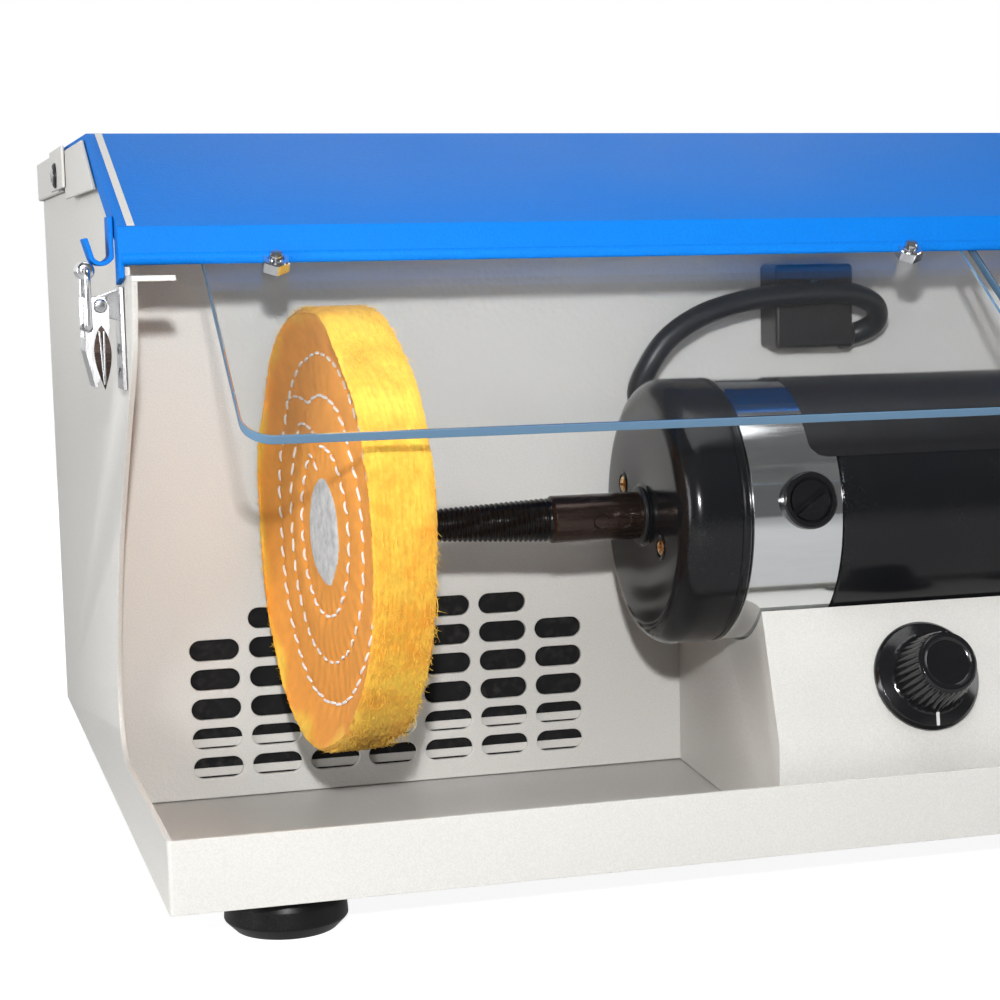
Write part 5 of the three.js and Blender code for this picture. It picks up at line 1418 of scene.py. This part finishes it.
def addShields(look):
    # straight along the hem, round corners at the free edge, blue grey where the sheet is cut
    x0, x1, run = look["left"], look["right"], look["run"]
    ends = roundedRectangle(x0, x1, -run, run, look["corner"], 10)
    outline = np.concatenate([ends[ends[:, 1] > 0], [(x0, 0), (x1, 0)]])
    start = np.array([0, *look["hem"]]) + shieldUnder * look["hemRadius"] - shieldDown * look["tuck"]
    middle = start + shieldUnder * look["thickness"] / 2
    for side, sign in sides:
        sheet = platePiece(side + "_clear_shield", [sided(outline, sign)], middle, (1, 0, 0), shieldDown,
                           look["thickness"], look["edge"], clearAcrylic, "lid")
        mesh = sheet.data
        mesh.materials.append(acrylicEdge)
        normals = np.zeros(len(mesh.polygons) * 3)
        mesh.polygons.foreach_get("normal", normals)
        cut = np.abs(normals.reshape(-1, 3) @ shieldUnder) < look["cutShare"]
        mesh.polygons.foreach_set("material_index", cut.astype(np.int32))
        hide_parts(side + "_shield")
        for index, x in enumerate(look["nuts"]):
            spot = sided((x, 0, 0), sign) + start + shieldDown * look["nutAlong"]
            addNut(f"{side}_shield_nut_{index + 1}", spot, -shieldUnder, look["nutHalf"], look["nutHeight"])


# Rows of the nut from its middle outwards and up: radii in shares of half its width, drops from its top face
nutRows = {"hexagon": ((9.0, None), (9.0, -0.75)), "chamfer": ((1.08, -0.25), (0.96, 0.0)),
           "screw": ((2.35, 0.0), (2.05, -0.5), (1.9, -0.5), (1.9, 1.5), (1.5, 1.9), (0.0, 1.9)), "steps": 72}


def addNut(name, spot, direction, halfFlat, height):
    # a six sided nut with a turned chamfer, a bored top and the screw's end standing in it
    steps = nutRows["steps"]
    turn = wholeTurn(steps)
    flat = halfFlat * hexagonReach(turn)
    rows = [(np.zeros(steps), 0.0)]
    rows += [(np.minimum(r, flat), 0.0 if rise is None else height + rise) for r, rise in nutRows["hexagon"]]
    rows += [(np.minimum(halfFlat * share, flat), height + rise) for share, rise in nutRows["chamfer"]]
    rows += [(np.full(steps, r), height + rise) for r, rise in nutRows["screw"]]
    radius = np.array([row for row, _ in rows])
    lift = np.repeat(np.array([[h] for _, h in rows]), steps, 1)
    angle = np.repeat(turn[None], len(rows), 0)
    gridPiece(name, aboutAxis(radius, lift, angle, spot, direction), brightSteel, "lid", 25.0)


# Toggle latches, measured on the left side
latchLook = {"edge": 0.25, "front": 46.0, "back": 61.0, "pivot": (-6.6, 158.0), "bailPivot": (-9.8, 152.0),
             "reach": 15.5, "wire": 0.9, "legs": (44.8, 62.2), "foot": 2.4, "corner": 2.0, "rollerInset": 3.2}
rivetLook = {"profile": ((0, -0.6), (1.9, -0.6), (1.9, 0.35), (1.5, 0.9), (0, 0.95)), "rounding": 0.3, "steps": 40}
plateRivet = {"profile": ((0, -0.3), (1.7, -0.3), (1.5, 0.5), (0, 0.8)), "rounding": 0.3, "steps": 32, "x": -1.2,
              "heights": (139.5, 146.0)}
rollerLook = {"turns": 7, "wire": 0.75, "rowsPerTurn": 8, "clearance": 0.05, "base": 1.2, "ridge": 0.8,
              "steps": 32}
hollowLook = {"top": 5.2, "length": 17.5, "width": 2.3, "lean": 0.4, "thickness": 0.3, "gap": 0.05, "edge": 0.08,
              "fullness": 0.8, "steps": 24, "wires": (-0.4, 0.45), "wireSpread": 1.6, "wireRadius": 0.28,
              "wireRise": 0.25, "wireEnds": 2, "wireSides": 10}


def addRoller(look, side, place):
    # wire wound close round the bail's bar: radius = coil plus a rounded ridge for each turn of it
    turns, wire, inner = look["turns"], look["wire"], latchLook["wire"] + look["clearance"]
    share = np.linspace(0, 1, turns * look["rowsPerTurn"] + 1)
    ridge = np.sqrt(np.clip(1 - (2 * ((share * turns) % 1.0) - 1) ** 2, 0, 1))
    outer = np.stack([inner + wire * (look["base"] + look["ridge"] * ridge), share * turns * 2 * wire], 1)
    profile = np.concatenate([[(inner, 0.0)], outer, [(inner, outer[-1, 1]), (inner, 0.0)]])
    turnedPiece(f"{side}_bail_roller", profile, place, (0, 1, 0), brightSteel, side + "_bail", look["steps"], 60.0)


def addHollow(look, side, sign):
    # a thin dark plate that paints the shade inside the pressed lever's hollow, with two wires in it: half width =
    # widest times a sine of the length
    x, z = latchLook["pivot"]
    share = np.linspace(0, 1, look["steps"])
    width = look["width"] * np.sin(math.pi * share ** look["fullness"])
    line = np.stack([x + look["lean"] * share, z - look["top"] - look["length"] * share], 1)
    across = np.stack([width, 0 * width], 1)
    outline = np.concatenate([line + across, (line - across)[-2:0:-1]])
    y = latchLook["front"] - look["thickness"] / 2 - look["gap"]
    # painted shade: the dark plate lies over the lever where its hollow falls in shade
    platePiece(f"{side}_lever_hollow", [sided(outline, sign)], (0, y, 0), *upright, look["thickness"],
               look["edge"], blackenedSteel, side + "_lever")
    inside = slice(look["wireEnds"], -look["wireEnds"])
    for index, offset in enumerate(look["wires"]):
        bow = line[inside, 0] + offset * (1 - share[inside]) * look["wireSpread"]
        path = np.stack([bow, np.full(len(bow), y - look["wireRise"]), line[inside, 1]], 1)
        tubePiece(f"{side}_lever_hollow_wire_{index + 1}", sided(path, sign), look["wireRadius"], brightSteel,
                  side + "_lever", look["wireSides"])


def addLatches(look):
    (x, z), (bx, bz) = look["pivot"], look["bailPivot"]
    y0, y1 = look["legs"]
    top, foot = bz + look["reach"], look["foot"]
    loop = roundCorners([(bx, y0 + foot, bz), (bx, y0, bz), (bx, y0, top), (bx, y1, top), (bx, y1, bz),
                         (bx, y1 - foot, bz)], look["corner"], 8)
    rivet = roundCorners(rivetLook["profile"], rivetLook["rounding"], 3)
    small = roundCorners(plateRivet["profile"], plateRivet["rounding"], 3)
    for side, sign in sides:
        softened(side + "_latch_base", platedSteel, look["edge"])
        softened(side + "_latch_lever", platedSteel, look["edge"])
        for name, way in (("front", -1), ("back", 1)):
            turnedPiece(f"{side}_latch_rivet_{name}", rivet, sided((x, look[name], z), sign), (0, way, 0),
                        brightSteel, side + "_lever", rivetLook["steps"])
        bail = tubePiece(side + "_wire_bail", sided(loop, sign), look["wire"], brightSteel, side + "_bail")
        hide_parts(side + "_latch_bail")
        addRoller(rollerLook, side, sided((bx, y0 + look["rollerInset"], top), sign))
        addHollow(hollowLook, side, sign)
        for index, height in enumerate(plateRivet["heights"]):
            spot = sided((plateRivet["x"], (look["front"] + look["back"]) / 2, height), sign)
            turnedPiece(f"{side}_latch_plate_rivet_{index + 1}", small, spot, (-sign, 0, 0), platedSteel,
                        "cabinet", plateRivet["steps"])


addShields(shieldLook)
addLatches(latchLook)

# Feet and mains inlet
footLook = {"insetX": 34.0, "front": 22.0, "rear": 308.0, "height": 12.0, "rounding": 1.2,
            "profile": ((0, 2.2), (5.6, 2.2), (6.4, 0.0), (13.6, 0.0), (17.0, 3.4), (16.6, 8.0), (15.4, 11.7),
                        (0, 11.7))}


def addFeet(look):
    profile = roundCorners(look["profile"], look["rounding"], 5)
    for end in ("front", "rear"):
        for side, sign in sides:
            foot = turnedPiece(f"{side}_{end}_rubber_foot", profile,
                               sided((look["insetX"], look[end], -look["height"]), sign), (0, 0, 1), footRubber,
                               "cabinet", smoothAngle=50.0)
            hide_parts(f"{side}_{end}_foot")


inletLook = {"edge": 0.5, "pitch": 9.6, "half": (0.95, 1.5), "rounding": 0.3, "pinEdge": 0.3, "length": 17.5,
             "depth": 11.0}


def addInlet(look):
    # three flat pins side by side in the inlet's well
    softened("power_inlet", satinBlack, look["edge"])
    low, high = nodeBox("power_inlet")
    x, z = (low[0] + high[0]) / 2, (low[2] + high[2]) / 2
    across, rise = look["half"]
    for index in range(3):
        middle = x + look["pitch"] * (index - 1)
        blade = roundedRectangle(middle - across, middle + across, z - rise, z + rise, look["rounding"], 3)
        platePiece(f"inlet_pin_{index + 1}", [blade], (0, low[1] + look["depth"], 0), *upright, look["length"],
                   look["pinEdge"], brightSteel, "cabinet")


addFeet(footLook)
addInlet(inletLook)
print("fittings added")

# Materials for the nodes whose shape is right as it is
nodeMaterials = {"speed_potentiometer": satinBlack, "speed_board": boardGreen, "motor_shaft": brightSteel,
                 "fan_frame": satinBlack, "fan_impeller": glossBlack}
pairMaterials = {"hinge_leaf_fixed": platedSteel, "hinge_leaf_moving": platedSteel, "hinge_pin": brightSteel,
                 "dust_filter": filterFoam}
for stem, material in pairMaterials.items():
    for side, _ in sides:
        nodeMaterials[side + "_" + stem] = material
for node, material in nodeMaterials.items():
    data = frame["nodes"][node].data
    data.materials.clear()
    data.materials.append(material)
print("materials given to", len(nodeMaterials), "nodes")

# Floor, world and lamps. A lamp's place and aim are in millimetres, its size in metres and its power in watts.
lamps = {
    "flash": {"place": (-62.0, -593.0, 272.0), "aim": (200.0, 60.0, 90.0), "size": 0.022, "power": 3.2},
    "sideLamp": {"place": (-850.0, -230.0, 250.0), "aim": (0.0, 150.0, 100.0), "size": 0.5, "power": 4.3},
    "topLamp": {"place": (200.0, -150.0, 1300.0), "aim": (250.0, 100.0, 100.0), "size": 0.9, "power": 4.4},
    "rightLamp": {"place": (1350.0, -330.0, 330.0), "aim": (350.0, 100.0, 100.0), "size": 0.5, "power": 2.4},
    "backLamp": {"place": (420.0, 1250.0, 420.0), "aim": (250.0, 330.0, 110.0), "size": 0.8, "power": 5.0},
}
studio = {"strength": 0.135, "colour": (0.94, 0.97, 1.0), "roomGloss": 0.12, "backdropDepth": (-0.1, 0.35),
          "backdropTop": (0.55, 0.85), "floorSize": 8.0, "floorColour": (0.35, 0.35, 0.35), "floorRoughness": 0.9,
          "floorGlow": 0.92, "floorGloss": 0.3}


def seenRays(tree):
    # rays with no matt bounce behind them, as seen straight or through clear sheet, and as seen in gloss
    path = tree.nodes.new("ShaderNodeLightPath")
    first = mathNode(tree, "LESS_THAN", path.outputs["Diffuse Depth"], 0.5)
    gloss = mathNode(tree, "MULTIPLY", first, mathNode(tree, "GREATER_THAN", path.outputs["Glossy Depth"], 0.5))
    return mathNode(tree, "SUBTRACT", first, gloss), gloss


def backdropShare(tree, look):
    # one towards the white backdrop behind the machine, nought towards the room and the ceiling
    split = tree.nodes.new("ShaderNodeSeparateXYZ")
    tree.links.new(tree.nodes.new("ShaderNodeTexCoord").outputs["Generated"], split.inputs[0])
    back = rangeNode(tree, split.outputs["Y"], *look["backdropDepth"])
    return mathNode(tree, "MULTIPLY", back, rangeNode(tree, split.outputs["Z"], *look["backdropTop"], 1.0, 0.0))


def addWorld(look):
    world = bpy.data.worlds.new("studioWorld")
    bpy.context.scene.world = world
    world.use_nodes = True
    tree = world.node_tree
    background = tree.nodes["Background"]
    background.inputs["Color"].default_value = (*look["colour"], 1)
    background.inputs["Strength"].default_value = look["strength"]
    white = tree.nodes.new("ShaderNodeBackground")
    white.inputs["Color"].default_value = (1, 1, 1, 1)
    seen, gloss = seenRays(tree)
    room = look["roomGloss"]
    lobe = mathNode(tree, "MULTIPLY_ADD", backdropShare(tree, look), 1.0 - room, room)
    glossy = mathNode(tree, "MULTIPLY", gloss, lobe)
    tree.links.new(mathNode(tree, "MAXIMUM", seen, glossy), white.inputs["Strength"])
    mix = tree.nodes.new("ShaderNodeMixShader")
    tree.links.new(mathNode(tree, "MAXIMUM", seen, gloss), mix.inputs[0])
    tree.links.new(background.outputs[0], mix.inputs[1])
    tree.links.new(white.outputs[0], mix.inputs[2])
    tree.links.new(mix.outputs[0], tree.nodes["World Output"].inputs["Surface"])


def addFloor(look):
    half = look["floorSize"] / 2
    mesh = bpy.data.meshes.new("floor")
    mesh.from_pydata([(x, y, 0) for x, y in rectangle(-half, half, -half, half)], [], [(0, 1, 2, 3)])
    floor = bpy.data.objects.new("floor", mesh)
    bpy.context.scene.collection.objects.link(floor)
    material, tree, shader = newMaterial("floorPaper", None, look["floorColour"], look["floorRoughness"])
    shader.inputs["Emission Color"].default_value = (1, 1, 1, 1)
    seen, gloss = seenRays(tree)
    glow = mathNode(tree, "MAXIMUM", mathNode(tree, "MULTIPLY", seen, look["floorGlow"]),
                    mathNode(tree, "MULTIPLY", gloss, look["floorGloss"]))
    tree.links.new(glow, shader.inputs["Emission Strength"])
    mesh.materials.append(material)


def addLamp(name, look):
    data = bpy.data.lights.new(name, "AREA")
    data.shape = "DISK"
    data.size = look["size"]
    data.energy = look["power"]
    lamp = bpy.data.objects.new(name, data)
    place, aim = Vector(at(*look["place"])), Vector(at(*look["aim"]))
    lamp.matrix_world = Matrix.Translation(place) @ (aim - place).to_track_quat("-Z", "Y").to_matrix().to_4x4()
    bpy.context.scene.collection.objects.link(lamp)


addWorld(studio)
addFloor(studio)
for name, look in lamps.items():
    addLamp(name, look)
bpy.context.scene.view_settings.view_transform = "Standard"
print("studio ready")
